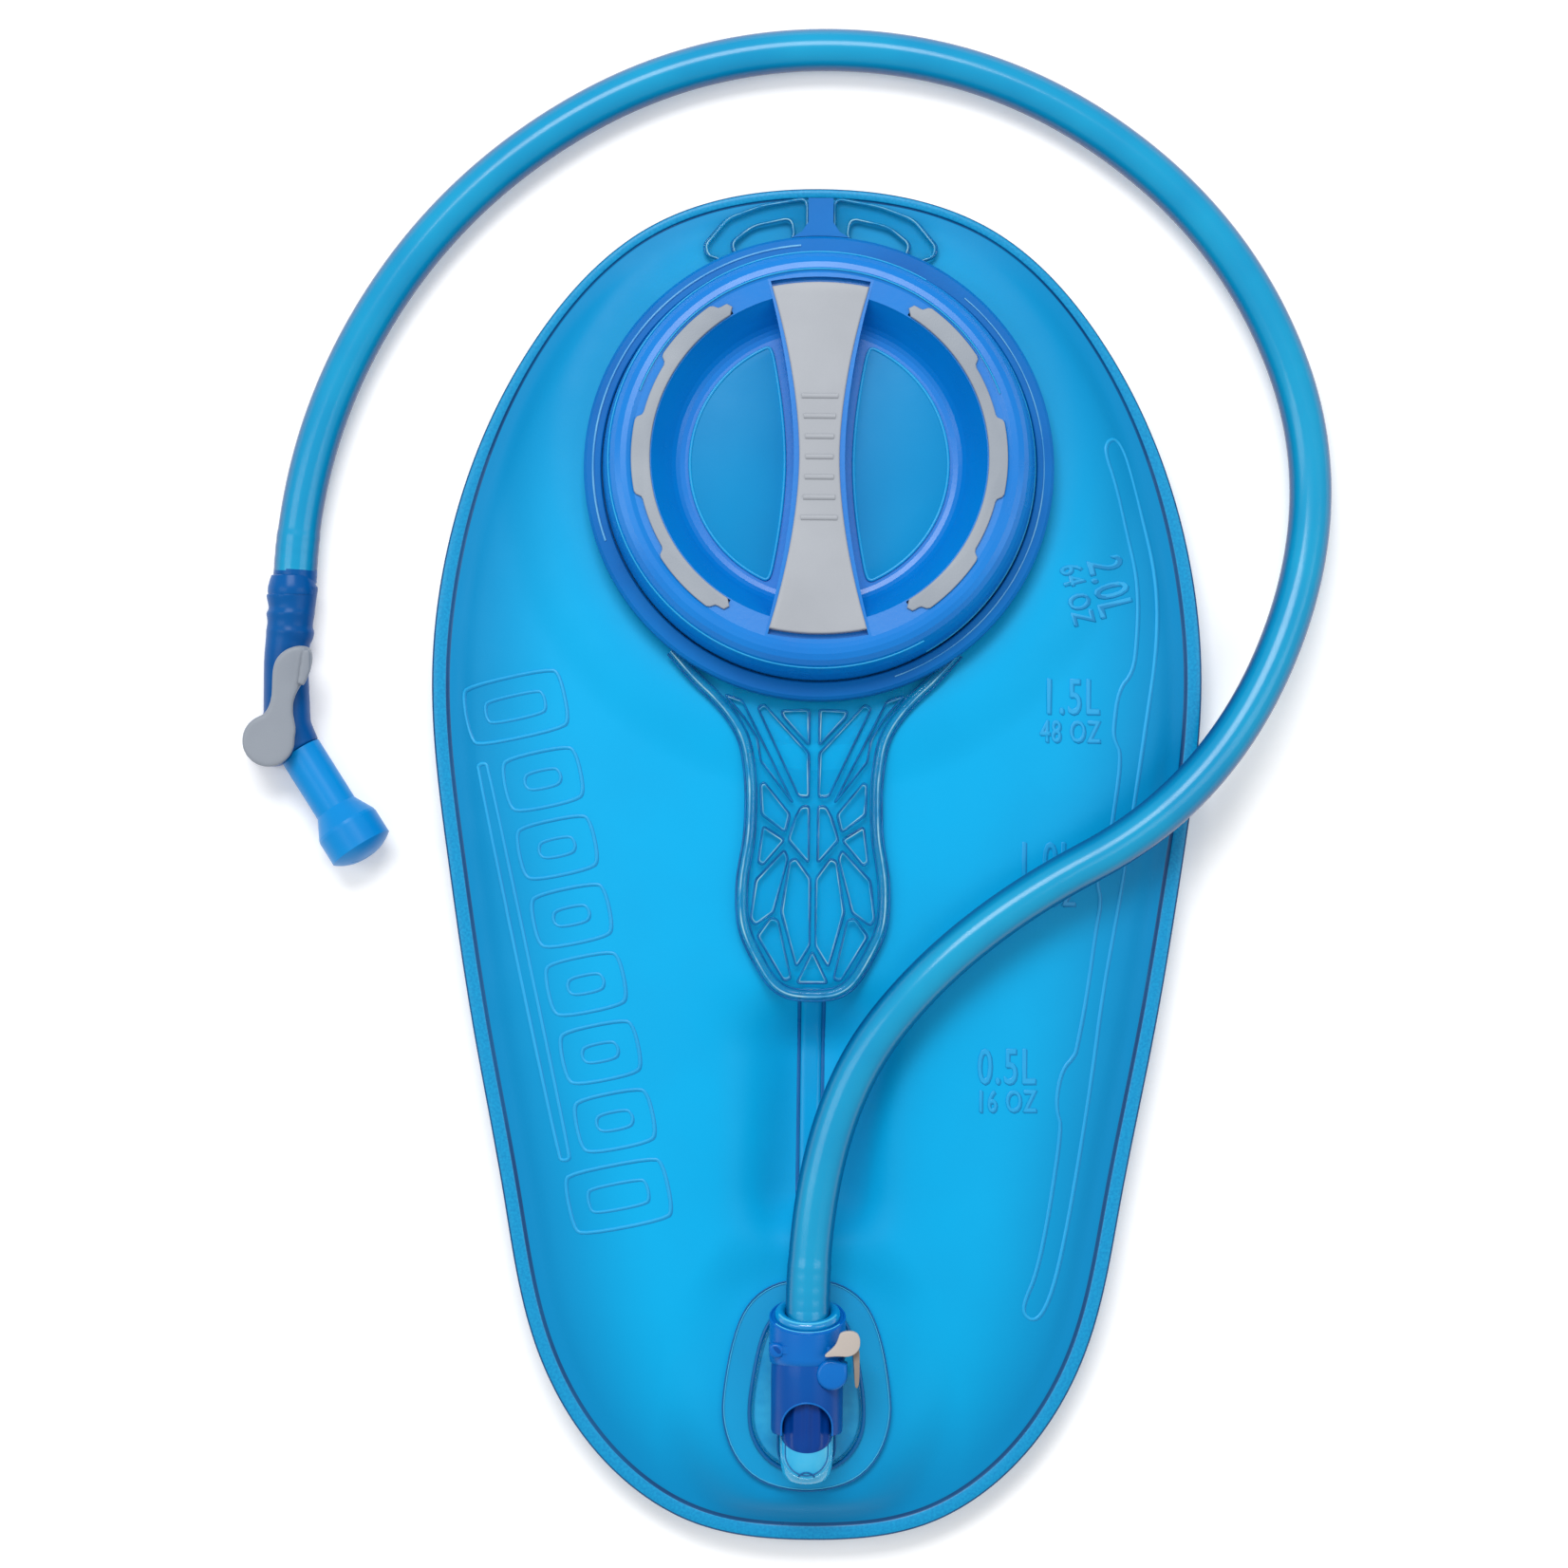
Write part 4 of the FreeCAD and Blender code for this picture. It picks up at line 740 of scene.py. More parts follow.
def rounded(points, closed, step=0.9):
    """Points along a line whose corners are eased by two rounds of corner cutting."""
    pts = list(points)
    for _ in range(2):
        out = [] if closed else [pts[0]]
        count = len(pts) if closed else len(pts) - 1
        for k in range(count):
            a, b = pts[k], pts[(k + 1) % len(pts)]
            out.append((a[0] * 0.75 + b[0] * 0.25, a[1] * 0.75 + b[1] * 0.25))
            out.append((a[0] * 0.25 + b[0] * 0.75, a[1] * 0.25 + b[1] * 0.75))
        if not closed:
            out.append(pts[-1])
        pts = out
    even = []
    count = len(pts) if closed else len(pts) - 1
    for k in range(count):
        a, b = pts[k], pts[(k + 1) % len(pts)]
        parts = max(1, round(math.dist(a, b) / step))
        for j in range(parts):
            even.append((a[0] + (b[0] - a[0]) * j / parts, a[1] + (b[1] - a[1]) * j / parts))
    if not closed:
        even.append(pts[-1])
    return even


def embossed(name, points, radius=0.42):
    """A raised closed line in the film, paler as a painted highlight, with a soft dark line at its foot,
    offset down and right as painted shade.
    """
    line_points = rounded(points, True)
    welt(name, line_points, radius, EMBOSS, True)
    shifted = [(x + 0.42, y - 0.3) for x, y in line_points]
    welt(name + "_foot", shifted, radius * 0.75, SHADE_SOFT, True, -0.1)


embossed("volume_scale", SCALE_OUTER + SCALE_INNER)


def lettering(name, text, size, place, turn, stretch):
    """Letters raised from the film, paler as a painted highlight, with a rounded edge and a darker copy at
    their foot, offset down and right as painted shade.
    """
    curve = bpy.data.curves.new(name, "FONT")
    curve.body = text
    curve.size = size
    curve.align_x = "CENTER"
    curve.align_y = "CENTER"
    curve.fill_mode = "FRONT"
    curve.extrude = 0.1
    curve.bevel_depth = 0.24
    curve.offset = -0.08
    curve.bevel_resolution = 1
    curve.resolution_u = 3
    curve.space_character = 1.12
    holder = bpy.data.objects.new(name, curve)
    mesh = bpy.data.meshes.new_from_object(holder)
    bpy.data.objects.remove(holder)
    count = len(mesh.vertices)
    flat = np.empty(count * 3)
    mesh.vertices.foreach_get("co", flat)
    flat = flat.reshape(-1, 3)
    angle = math.radians(turn)
    u = flat[:, 0] * stretch
    v = flat[:, 1]
    x = place[0] + u * math.cos(angle) - v * math.sin(angle)
    y = place[1] + u * math.sin(angle) + v * math.cos(angle)
    # the second copy, set lower and offset down and right, is painted shade
    for part, shift, rise, mat in (("", 0.0, 0.0, EMBOSS), ("_edge", 0.32, -0.14, SHADE_SOFT)):
        z = front_height(x, y) + flat[:, 2] * 0.7 + rise
        copy = mesh.copy()
        copy.vertices.foreach_set("co", np.column_stack([x + shift, y - shift, z]).ravel() * MM)
        copy.materials.clear()
        copy.materials.append(mat)
        copy.shade_smooth()
        obj = bpy.data.objects.new(name + part, copy)
        bpy.context.collection.objects.link(obj)
        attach(obj, "bag")


for tag, litres, ounces, place, turn in (
        ("20", "2.0L", "64 OZ", (71.6, 69.5), -75.0), ("15", "1.5L", "48 OZ", (62.4, 41.6), 0.0),
        ("10", "1.0L", "32 OZ", (56.6, 1.3), 0.0), ("05", "0.5L", "16 OZ", (47.4, -49.6), 0.0)):
    lettering("mark_%s_litres" % tag, litres, 12.4, place, turn, 0.62)
    angle = math.radians(turn)
    below = (place[0] + 8.4 * math.sin(angle), place[1] - 8.4 * math.cos(angle))
    lettering("mark_%s_ounces" % tag, ounces, 7.6, below, turn, 0.66)

# plain raised blocks and a long bar down the left side
BAND_TOP = (-74.0, 38.5)
BAND_END = (-45.0, -93.0)
band_way = Vector((BAND_END[0] - BAND_TOP[0], BAND_END[1] - BAND_TOP[1])).normalized()
band_side = Vector((-band_way.y, band_way.x))


def band_point(along, across):
    return (BAND_TOP[0] + band_way.x * along + band_side.x * across,
            BAND_TOP[1] + band_way.y * along + band_side.y * across)


def band_box(a0, a1, c0, c1, r):
    """A box along the band with its corners cut by r; a runs along the band and c across it."""
    corners = [(a0 + r, c0), (a1 - r, c0), (a1, c0 + r), (a1, c1 - r), (a1 - r, c1), (a0 + r, c1),
               (a0, c1 - r), (a0, c0 + r)]
    return [band_point(a, c) for a, c in corners]


BLOCKS = [(-7.5, 7.5, -13.0, 12.0)] + [(12.0 + 17.2 * k, 25.6 + 17.2 * k, -7.0, 12.0) for k in range(6)]
BLOCKS += [(115.5, 131.0, -13.0, 12.0)]
for number, (a0, a1, c0, c1) in enumerate(BLOCKS):
    embossed("block_%d" % number, band_box(a0, a1, c0, c1, 2.0))
    embossed("block_slot_%d" % number, band_box(a0 + 4.6, a1 - 4.6, c0 + 5.0, c1 - 5.0, 1.2), radius=0.34)
embossed("long_bar", band_box(12.0, 112.0, -13.0, -10.2, 0.8))

# ------------------------------------------------------------------ clear handle
WEB_TOP = 25.8
WEB_X = -0.6
WEB_RIM = [(35.0, 52.4), (29.4, 45.9), (23.5, 40.5), (19.2, 35.1), (16.8, 30.2), (15.8, 24.3), (15.3, 19.4),
           (15.3, 12.9), (15.6, 6.4), (16.6, 1.0), (17.4, -4.4), (17.4, -12.0), (16.4, -16.8),
           (13.8, -22.2), (10.3, -28.2), (7.3, -30.7), (3.5, -31.8)]
WEB_CELLS = [
    [(1.2, 38.2), (8.1, 37.9), (7.7, 36.4), (1.2, 29.4)],
    [(1.2, 27.5), (12.4, 39.5), (13.9, 38.6), (3.6, 16.8), (1.2, 16.6)],
    [(22.0, 41.8), (17.7, 40.3), (5.0, 15.2), (13.0, 25.4), (13.9, 31.0), (17.0, 36.0)],
    [(12.1, 20.3), (13.0, 19.9), (12.8, 12.4), (6.9, 8.1), (5.7, 12.4)],
    [(1.1, 14.6), (3.0, 14.5), (4.5, 11.8), (6.2, 6.1), (1.1, 0.6)],
    [(7.0, 6.3), (12.3, 9.6), (13.5, 0.7), (12.3, 0.0)],
    [(7.0, 3.8), (14.1, -3.6), (15.2, -13.3), (14.1, -14.7), (9.7, -11.7), (6.2, 1.8)],
    [(0.7, -3.0), (4.3, 1.8), (5.7, 1.1), (7.8, -11.4), (3.9, -24.9), (0.7, -19.8)],
    [(8.5, -13.3), (10.3, -12.8), (13.6, -17.2), (6.9, -28.3), (5.2, -27.9)],
]
FOOT_CELL = [(0.0, -20.9), (3.8, -28.8), (-3.8, -28.8)]


def corner_arcs(points, radius=0.8, count=4):
    """A closed outline whose corners are rounded to about one radius."""
    out = []
    n = len(points)
    for k in range(n):
        p = Vector(points[k])
        before = Vector(points[k - 1]) - p
        after = Vector(points[(k + 1) % n]) - p
        reach = min(radius, before.length * 0.4, after.length * 0.4)
        a = p + before.normalized() * reach
        b = p + after.normalized() * reach
        for j in range(count + 1):
            t = j / count
            out.append(tuple(a * (1 - t) ** 2 + p * 2 * t * (1 - t) + b * t * t))
    return out


def on_web(points, z):
    return at_height([(x + WEB_X, y) for x, y in points], z)


def window(name, cell):
    """One window of the web: its dark wall line of painted shade and the thin lip inside it, painted as a
    bright highlight.
    """
    loop = corner_arcs(cell)
    height = WEB_TOP + 0.15
    wall = sweep(name, on_web(loop, height), 0.27 * MM, CLEAR_EDGE_SHADE, "bag", 8, closed=True)
    middle = Vector((sum(p[0] for p in cell), sum(p[1] for p in cell))) / len(cell)
    inner = []
    for p in loop:
        d = Vector(p) - middle
        inner.append(tuple(middle + d * (1.0 - 0.5 / max(d.length, 1.0))))
    lip = sweep(name + "_lip", on_web(inner, height), 0.15 * MM, CLEAR_GLINT, "bag", 8, closed=True)


for number, cell in enumerate(WEB_CELLS):
    window("web_window_r%d" % number, cell)
    window("web_window_l%d" % number, [(-x, y) for x, y in cell][::-1])
window("web_window_foot", FOOT_CELL)

rim_line = rounded(WEB_RIM + [(-x, y) for x, y in WEB_RIM][::-1], False, 0.8)
rim = sweep("web_rim", on_web(rim_line, WEB_TOP - 0.2), 1.25 * MM, CLEAR_RIM, "bag", 16, squash=0.8)
# the rim's outer and inner dark lines are painted shade and its top line a painted glint
for tag, gap, width, mat in (("outer", 1.35, 0.32, CLEAR_EDGE_SHADE), ("inner", -1.3, 0.24, CLEAR_EDGE_SHADE),
                             ("glint", 0.35, 0.22, CLEAR_GLINT)):
    grown = []
    for k, p in enumerate(rim_line):
        ahead = Vector(rim_line[min(k + 1, len(rim_line) - 1)]) - Vector(rim_line[max(k - 1, 0)])
        side = Vector((-ahead.y, ahead.x)).normalized()
        grown.append(tuple(Vector(p) + side * gap))
    height = WEB_TOP + (0.95 if tag == "glint" else -0.1)
    piece = sweep("web_rim_" + tag, on_web(grown, height), width * MM, mat, "bag", 8)

# hanging loops: a raised lip round each wing and each slot, in the port's frame
WING = [(-3.4, 68.2), (-14.6, 66.2), (-23.0, 63.0), (-28.4, 56.2), (-27.7, 53.6), (-25.3, 52.8),
        (-22.0, 50.8), (-3.4, 57.0)]
WING_SLOT = [(-22.0, 56.8), (-16.8, 61.1), (-7.2, 63.3), (-6.4, 57.8), (-14.0, 55.9), (-20.6, 53.0)]


def in_port(points, z):
    """Points in mm in the tilted port's own frame, in metres."""
    return [PORT @ (Vector((x, y, z)) * MM) for x, y in points]


# each lip gets a dark line of painted shade and a thin painted glint on top
for tag, side in (("left", 1.0), ("right", -1.0)):
    for part, outline_points, edge in (("edge", WING, 0.55), ("slot", WING_SLOT, 0.5)):
        loop = corner_arcs([(side * x, y) for x, y in outline_points], 2.2, 6)
        bead = sweep("wing_%s_%s" % (part, tag), in_port(loop, 2.0), edge * MM, CLEAR_RIM, "bag", 10,
                     closed=True)
        dark = sweep("wing_%s_line_%s" % (part, tag), in_port([(x * 1.02, y + 0.1) for x, y in loop], 1.75),
                     0.3 * MM, CLEAR_EDGE_SHADE, "bag", 8, closed=True)
        top = sweep("wing_%s_glint_%s" % (part, tag), in_port(loop, 2.5), 0.16 * MM, CLEAR_GLINT, "bag", 8,
                    closed=True)

# ------------------------------------------------------------------ exit port on the film
FLANGE = [(0.0, -102.0), (8.0, -102.8), (14.6, -107.6), (18.2, -116.0), (20.4, -128.0), (20.9, -137.0),
          (17.6, -146.4), (11.0, -152.4), (0.0, -154.6)]
TEAR = [(0.0, -109.8), (7.4, -111.0), (10.4, -116.0), (12.2, -124.0), (13.6, -134.0), (12.6, -141.0),
        (8.0, -146.8), (0.0, -149.2)]


def exit_loop(right):
    """A whole smooth loop about the connector's axis from its right half."""
    return rounded([(x + EXIT_X, y) for x, y in both_sides(right)], True, 1.0)


EXIT_MIDDLE_Y = -129.0
flange_loop = exit_loop(FLANGE)
tear_loop = exit_loop(TEAR)
# the dark lines round the flange and the teardrop are painted shade, and the bright line inside the flange
# edge a painted highlight
for name, loop, z, width, mat in (
        ("flange_line", flange_loop, 19.02, 0.2, SHADE), ("flange_glint", flange_loop, 19.1, 0.14, GLINT),
        ("tear_wall", tear_loop, 19.95, 0.42, CLEAR_RIM), ("tear_line", tear_loop, 19.75, 0.55, SHADE)):
    grow = {"flange_glint": 0.985, "tear_line": 1.05}.get(name, 1.0)
    pts = [((x - EXIT_X) * grow + EXIT_X, (y - EXIT_MIDDLE_Y) * grow + EXIT_MIDDLE_Y) for x, y in loop]
    piece = sweep(name, at_height(pts, z), width * MM, mat, "bag", 8, closed=True)

# clear moulding of the exit: flange welded on the film and the raised teardrop on it
for name, loop, low, high, mat in (("exit_flange", flange_loop, 17.6, 18.98, FLANGE_SKIN),
                                   ("exit_teardrop", tear_loop, 18.4, 19.85, TEAR_SKIN)):
    plate = prism(name, loop, low, high, 0.35, mat, "bag")

# ------------------------------------------------------------------ quick connector
AXIS = Matrix.Translation(Vector((EXIT_X, 0.0, EXIT_Z)) * MM) @ Matrix.Rotation(math.radians(-90.0), 4, "X")


def about_axis(name, profile, mats):
    """Turned about the connector's axis; corners are (radius, row Y)."""
    return lathe(name, profile, mats, "bag", AXIS, 96)


def bored(obj, tool):
    """Cuts the tool out of a piece for good."""
    shell = bmesh.new()
    shell.from_mesh(tool.data)
    bmesh.ops.recalc_face_normals(shell, faces=shell.faces)
    shell.to_mesh(tool.data)
    shell.free()
    step = obj.modifiers.new("cut", "BOOLEAN")
    step.operation = "DIFFERENCE"
    step.solver = "EXACT"
    step.object = tool
    depsgraph = bpy.context.evaluated_depsgraph_get()
    mesh = bpy.data.meshes.new_from_object(obj.evaluated_get(depsgraph))
    obj.modifiers.clear()
    obj.data = mesh
    mesh.shade_smooth()
    mesh.set_sharp_from_angle(angle=math.radians(38.0))
    bpy.data.objects.remove(tool)


def cutter(name, verts, faces):
    """A plain mesh from millimetre points that only cuts another piece."""
    mesh = bpy.data.meshes.new(name)
    mesh.from_pydata([tuple(Vector(v) * MM) for v in verts], [], faces)
    obj = bpy.data.objects.new(name, mesh)
    bpy.context.collection.objects.link(obj)
    return obj


shoulder = about_axis("connector_shoulder", [
    (5.4, -104.0), (9.1, -104.0), (9.3, -108.0), (9.3, -119.8), (9.1, -121.0), (8.7, -121.4), (7.2, -121.4),
    (7.2, -112.0), (5.4, -111.0)], CONNECTOR)
LEAN = math.radians(22.0)
FACE_Y = -110.0


def on_face(x, along, out):
    """A point on the shoulder's leaning front face, as x, distance up the face and distance off it."""
    y = FACE_Y - along * math.sin(LEAN) + out * math.cos(LEAN)
    return (EXIT_X + x, y, EXIT_Z + along * math.cos(LEAN) + out * math.sin(LEAN))


block, block_faces = slab([(-15, -15), (15, -15), (15, 15), (-15, 15)], 0.0, 30.0)
bored(shoulder, cutter("front_cut", [on_face(*corner) for corner in block], block_faces))


def face_ring(name, radius, thick, out, mats, start=0.0, end=360.0):
    """A ring lying on the leaning face, whole or from one angle to another."""
    whole = end - start >= 360.0
    count = 72
    loop = []
    for k in range(count if whole else count + 1):
        angle = math.radians(start + (end - start) * k / count)
        loop.append(Vector(on_face(radius * math.cos(angle), radius * math.sin(angle), out)) * MM)
    obj = sweep(name, loop, thick * MM, mats, "bag", 14, closed=whole)
    return obj


root = about_axis("hose_root", [
    (4.9, -107.0), (5.3, -107.6), (5.45, -109.2), (5.45, -114.0), (4.9, -114.2)], TUBE)
side_shade_fill(root)
face_ring("collar_ring", 6.7, 1.35, 0.5, COLLAR)
face_ring("shoulder_round", 9.05, 0.35, -0.15, CONNECTOR)
face_ring("collar_line_0", 7.3, 0.3, 1.65, GLINT, 20.0, 160.0)
face_ring("collar_line_1", 8.9, 0.16, 0.2, GLINT, 30.0, 150.0)
barrel = about_axis("connector_barrel", [
    (7.3, -120.6), (8.6, -120.6), (8.75, -121.4), (8.8, -125.0), (8.75, -137.6), (8.4, -138.4),
    (7.5, -138.5), (7.2, -138.1)], BARREL)
arch_points = [(-6.4 + EXIT_X, -140.0), (6.4 + EXIT_X, -140.0)]
arch_points += [(x + EXIT_X, y) for x, y in arc(0.0, -136.4, 6.1, 0.0, 180.0, 14)]
bored(barrel, cutter("arch", *slab(arch_points, EXIT_Z, EXIT_Z + 14.0)))
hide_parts("connector_body")

# flutes of the male nose, seen through the arch
FLUTE_STEPS = 96
flutes = []
for k in range(FLUTE_STEPS + 1):
    angle = math.radians(10.0 + 160.0 * k / FLUTE_STEPS)
    ridge = 7.0 - 0.4 * (0.5 + 0.5 * math.cos(14.0 * angle))
    flutes.append((ridge * math.cos(angle), ridge * math.sin(angle)))
NOSE_ROWS = ((0.0, 0.0), (0.84, 0.0), (0.93, 0.25), (0.98, 0.7), (1.0, 1.0), (1.005, 1.0))
verts = []
for share, fade in NOSE_ROWS:
    for k, (x, z) in enumerate(flutes):
        shrink = 1.0 + fade * (6.42 / math.hypot(x, z) - 1.0)
        end = -138.4 - 4.2 * math.sin(math.radians(10.0 + 160.0 * k / FLUTE_STEPS))
        y = -127.0 + (end + 127.0) * share
        verts.append((EXIT_X + x * shrink, y, EXIT_Z + z * shrink))
faces = []
for row in range(len(NOSE_ROWS) - 1):
    for k in range(FLUTE_STEPS):
        a = row * (FLUTE_STEPS + 1) + k
        b = a + FLUTE_STEPS + 1
        faces.append((a, a + 1, b + 1, b))
nose = mesh_object("nose_flutes", verts, faces, NOSE, "bag", 50.0)

# arch lip, lug on the left with a dark plate as painted shade of its hollow, rounded ear under the button
arch_rim = []
for k in range(25):
    angle = math.radians(7.5 * k)
    x = 6.2 * math.cos(angle)
    y = -136.4 + 6.2 * math.sin(angle)
    arch_rim.append((x + EXIT_X, y, EXIT_Z + math.sqrt(8.8 ** 2 - x * x) + 0.02))
arch_rim = [(6.2 + EXIT_X, -138.4, arch_rim[0][2])] + arch_rim + [(-6.2 + EXIT_X, -138.4, arch_rim[-1][2])]
lip = sweep("arch_lip", [Vector(p) * MM for p in arch_rim], 0.24 * MM, CONNECTOR, "bag", 10)
EAR = arc(5.0, -123.3, 3.8, 95.0, 360.0, 18) + [(8.7, -120.6)]
ear = prism("button_guard", EAR, 33.0, 38.6, 0.9, CONNECTOR, "bag")
LUG = [(-10.6, -116.9), (-9.4, -115.8), (-7.2, -116.2), (-6.4, -117.8), (-7.4, -119.6), (-9.8, -119.4)]
lug = prism("latch_lug", rounded(LUG, True, 0.5), 33.0, 36.9, 0.7, CONNECTOR, "bag")
LUG_HOLLOW_SHADE = [(-9.7, -116.7), (-8.4, -116.6), (-7.2, -118.0), (-8.0, -118.7)]
notch = prism("lug_hollow_shade", rounded(LUG_HOLLOW_SHADE, True, 0.4), 36.6, 37.0, 0.12, BARREL, "button")

LIP = [(2.4, -118.9), (5.6, -116.2), (6.4, -114.4), (6.9, -112.6), (10.4, -112.3), (11.8, -114.0),
       (11.6, -117.0), (9.4, -118.7), (6.0, -118.5)]
lip_piece = prism("button_lip", rounded(LIP, True, 0.5), 38.9, 41.0, 0.8, BUTTON, "button")
# the leg is painted darker as shade on the button's lower side
LEG = [(9.8, -116.5), (11.6, -116.5), (11.7, -121.0), (11.6, -125.8), (11.0, -126.6), (10.5, -126.0),
       (10.3, -121.0)]
leg = prism("button_leg", rounded(LEG, True, 0.6), 28.0, 38.6, 0.6, BUTTON_SHADE, "button")
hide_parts("release_button")

# clear socket end: two U walls and the little arch between them
BOWL = [(6.4, -144.6), (6.2, -146.6), (5.7, -148.4), (4.7, -149.9), (3.0, -150.7), (0.0, -151.0)]


def bowl_top(x, y):
    """Height of the clear end's upper surface over a plan point beside the axis."""
    radius = float(np.interp(-y, [-v for _, v in BOWL], [r for r, _ in BOWL]))
    return EXIT_Z + math.sqrt(max(0.0, radius ** 2 - x ** 2)) + 0.1


for tag, radius, width, mat in (("outer", 7.0, 0.3, SHADE), ("middle", 6.1, 0.3, SOCKET_WALL),
                                ("inner", 5.2, 0.16, SHADE)):
    loop = [(radius, -138.7)] + arc(0.0, -143.0, radius, 0.0, -180.0, 24) + [(-radius, -138.7)]
    wall = sweep("socket_" + tag, [
        Vector((EXIT_X + x, y, bowl_top(x, y) if radius < 6.5 else 22.0)) * MM for x, y in loop],
        width * MM, mat, "bag", 10)
bowl_inside = [(0.0, -150.3), (3.0, -150.1), (4.6, -149.3), (5.3, -147.0)]
bowl = about_axis("socket_bowl", [(5.3, -112.5), (6.4, -112.5)] + BOWL + bowl_inside, SOCKET_FLOOR)
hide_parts("exit_port")
tick = sweep("socket_tick", [Vector((EXIT_X + x, y, bowl_top(x, y))) * MM
                            for x, y in arc(0.0, -149.6, 2.2, 20.0, 160.0, 10)], 0.2 * MM, SHADE, "bag", 8)

# ------------------------------------------------------------------ cap
ARC_RADIUS = 42.7                   # middle of the grip arcs, mm
ARC_START = 120.2                   # where the left grip arc begins, degrees
ARC_SPAN = 119.6                    # and how far it runs


def polar(r, degrees):
    return (r * math.cos(math.radians(degrees)), r * math.sin(math.radians(degrees)))


def nub(degrees):
    """How far a finger nub stands out of the grip arc at this angle, 0 to 1."""
    best = 0.0
    for start, end in ((126.0, 147.0), (168.5, 191.5), (213.0, 234.0)):
        middle = 0.5 * (start + end)
        half = 0.5 * (end - start)
        best = max(best, 1.0 - smooth(np.array((abs(degrees - middle) - half) / 2.2)).item())
    return best


def end_round(k, steps, reach):
    """1 at the first and last of the points, falling to 0 along a quarter circle reach points in."""
    tip = min(k, steps - k) / reach
    return 0.0 if tip >= 1.0 else 1.0 - math.sqrt(max(0.0, 1.0 - (1.0 - tip) ** 2))


def grip_outline(side):
    """A grip arc with its three nubs, left for side 1 and mirrored for side -1."""
    outer = []
    steps = 118
    for k in range(steps + 1):
        degrees = ARC_START + ARC_SPAN * k / steps
        width = (1.4 + 1.7 * nub(degrees)) * (1.0 - end_round(k, steps, 1.6))
        outer.append(polar(ARC_RADIUS + width, degrees))
    inner = []
    steps = 60
    for k in range(steps, -1, -1):
        degrees = ARC_START + ARC_SPAN * k / steps
        inner.append(polar(ARC_RADIUS - 1.5 * (1.0 - end_round(k, steps, 0.8)), degrees))
    pts = outer + inner[1:-1]
    return [(side * x, y) for x, y in pts]


for tag, side in (("left", 1.0), ("right", -1.0)):
    grip = prism("grip_" + tag, grip_outline(side), 17.7, 20.0, 0.3, ARC_GRIP, "cap", PORT)
    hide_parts("grip_arc_" + tag)


def bar_half_width(y):
    """The bow-tie bar is narrow at its middle and wide at both ends."""
    return 6.2 + 7.4 * min(1.0, abs(y) / 43.5) ** 1.8


def bar_outline(inset, length, bulge=1.2):
    """The bow-tie bar seen from above, drawn in by inset, with bulging ends."""
    right = []
    for k in range(41):
        y = -length + 2.0 * length * k / 40
        right.append((bar_half_width(y) - inset, y))
    top = [(w, length + bulge * (1.0 - (w / right[-1][0]) ** 2))
           for w in np.linspace(right[-1][0], -right[-1][0], 13)[1:-1]]
    left = [(-x, y) for x, y in right[::-1]]
    low = [(w, -length - bulge * (1.0 - (w / right[0][0]) ** 2))
           for w in np.linspace(-right[0][0], right[0][0], 13)[1:-1]]
    return right + top + left + low


insert = prism("bar_insert", bar_outline(1.3, 42.15), 17.7, 19.95, 0.5, GRIP, "cap", PORT)
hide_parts("grip_bar_insert")
for k in range(-3, 4):
    y = 5.0 * k
    w = bar_half_width(y) - 2.9
    rib = sweep("bar_rib_%d" % (k + 3), in_port([(-w + 2.0 * w * j / 8, y) for j in range(9)], 19.88),
                0.7 * MM, GRIP, "cap", 12, squash=0.8)

# the two wells: a light floor with a fillet where it meets the wall, painted as a soft highlight
for tag, side in (("left", -1.0), ("right", 1.0)):
    edge = []
    for k in range(49):
        y = -27.0 + 54.0 * k / 48
        edge.append((side * (bar_half_width(y) + 2.2), y))
    rim_pts = []
    start = math.degrees(math.atan2(27.0, edge[-1][0] * side))
    for k in range(61):
        degrees = start - 2.0 * start * k / 60
        x, y = polar(31.6, degrees)
        rim_pts.append((side * x, y))
    well = rounded(edge[::2] + rim_pts[::2], True, 1.2)
    floor_piece = prism("well_floor_" + tag, well, 10.25, 10.5, 0.15, CAP_FLOOR, "cap", PORT)
    fillet = sweep("well_fillet_" + tag, in_port(well, 10.45), 0.42 * MM, CAP_HIGHLIGHT, "cap", 10, closed=True)


# lines of light on the skirt and the tether
def port_arc(name, radius, height, thick, mat, body, start, end):
    """A thin bar along part of a circle in the port's frame."""
    count = max(24, int(abs(end - start) / 2.5))
    points = [polar(radius, start + (end - start) * k / count) for k in range(count + 1)]
    return sweep(name, in_port(points, height), thick * MM, mat, body, 8)


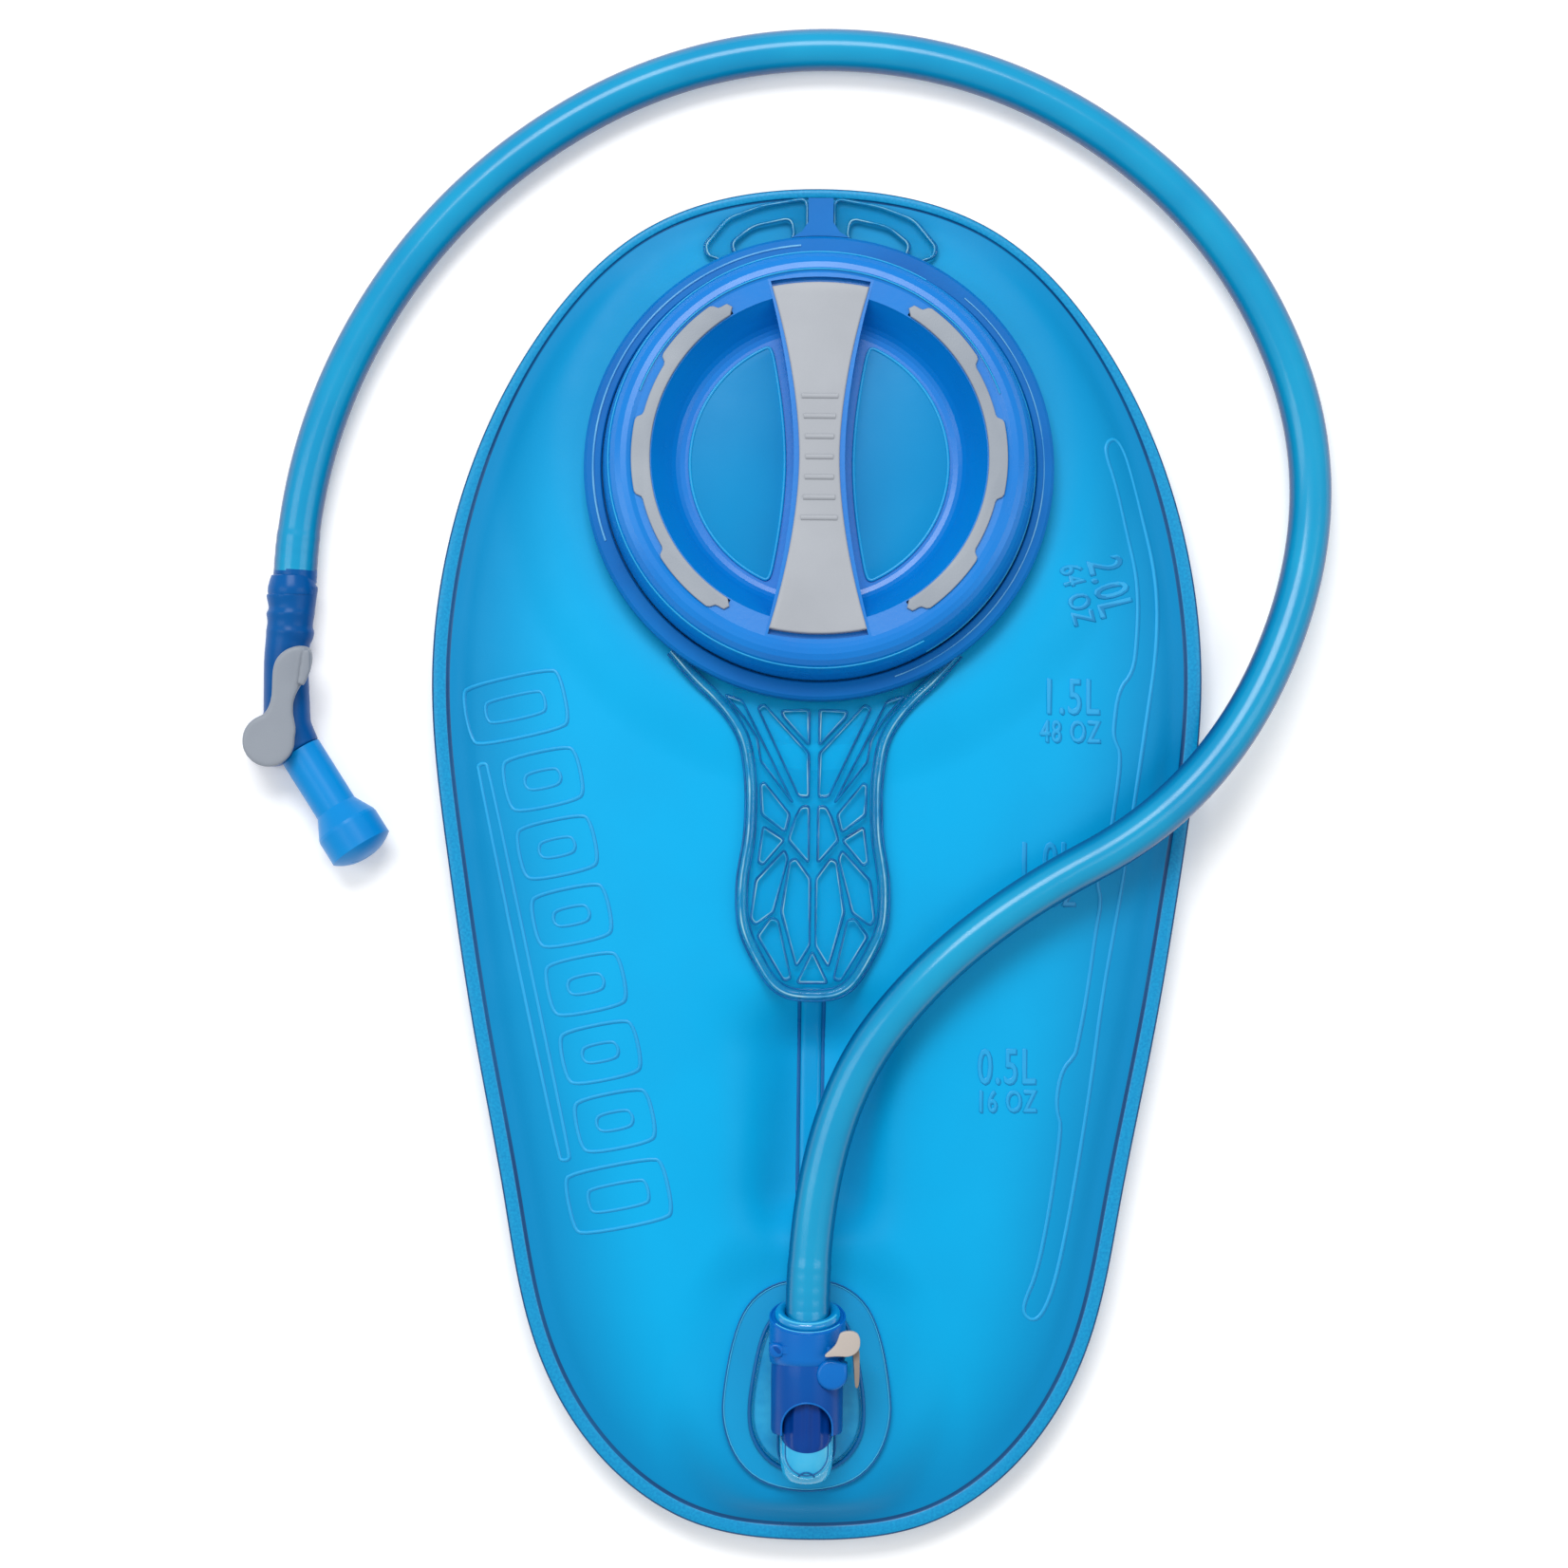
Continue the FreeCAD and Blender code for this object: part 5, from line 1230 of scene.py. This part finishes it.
for number, (radius, height, thick, start, end) in enumerate((
        (55.4, 7.05, 0.3, 95.0, 200.0), (57.2, 6.2, 0.2, 100.0, 230.0), (57.0, 6.3, 0.18, -60.0, 60.0),
        (55.2, 7.05, 0.18, -70.0, 50.0))):
    light_ring = port_arc("tether_line_%d" % number, radius, height, thick, RING_GLINT, "cap_ring",
                          start, end)
for number, (radius, height, thick, start, end) in enumerate((
        (51.4, 17.0, 0.22, 60.0, 300.0), (52.9, 8.3, 0.25, -60.0, 60.0), (46.6, 19.75, 0.2, 20.0, 160.0))):
    light_ring = port_arc("cap_line_%d" % number, radius, height, thick, CAP_HIGHLIGHT, "cap", start, end)

# ------------------------------------------------------------------ materials of the carried-over nodes
LOOKS = {
    "port_collar": CLEAR, "handle_frame": CLEAR, "tether_ring": RING, "tether_strap": RING,
    "cap_shell": CAP, "cap_gasket": RUBBER, "check_poppet": SOCKET, "poppet_seal": RUBBER,
    "poppet_spring": SOCKET, "connector_nose": NOSE, "nose_seal": RUBBER, "latch_plate": CONNECTOR,
    "latch_spring": STEEL, "hose_tail": CONNECTOR, "valve_body": VALVE, "shutoff_plug": VALVE,
    "plug_seal": RUBBER, "shutoff_lever": LEVER, "bite_sleeve": SLEEVE,
}
for node_name, mat in LOOKS.items():
    obj = NODES[node_name]
    obj.data.materials.clear()
    obj.data.materials.append(mat)

# rolled end of the hose over the valve's top ring
cuff = lathe("hose_cuff", [
    (5.0, 70.8), (5.3, 70.6), (5.7, 69.3), (6.05, 67.9), (6.15, 66.7), (6.0, 65.9), (5.2, 65.8)],
    TUBE_END, "bag", Matrix.Translation(Vector((-130.6, 0.0, 5.85)) * MM) @ Matrix.Rotation(
        math.radians(-90.0), 4, "X"), 64)

# moulded parts have no knife edges: rounded copies of their surface are shown
for node_name, voxel, passes in (("valve_body", 0.42, 14), ("shutoff_lever", 0.4, 22)):
    obj = NODES[node_name]
    remesh = obj.modifiers.new("soft", "REMESH")
    remesh.mode = "VOXEL"
    remesh.voxel_size = voxel * MM
    remesh.use_smooth_shade = True
    relax = obj.modifiers.new("relax", "SMOOTH")
    relax.factor = 0.5
    relax.iterations = passes
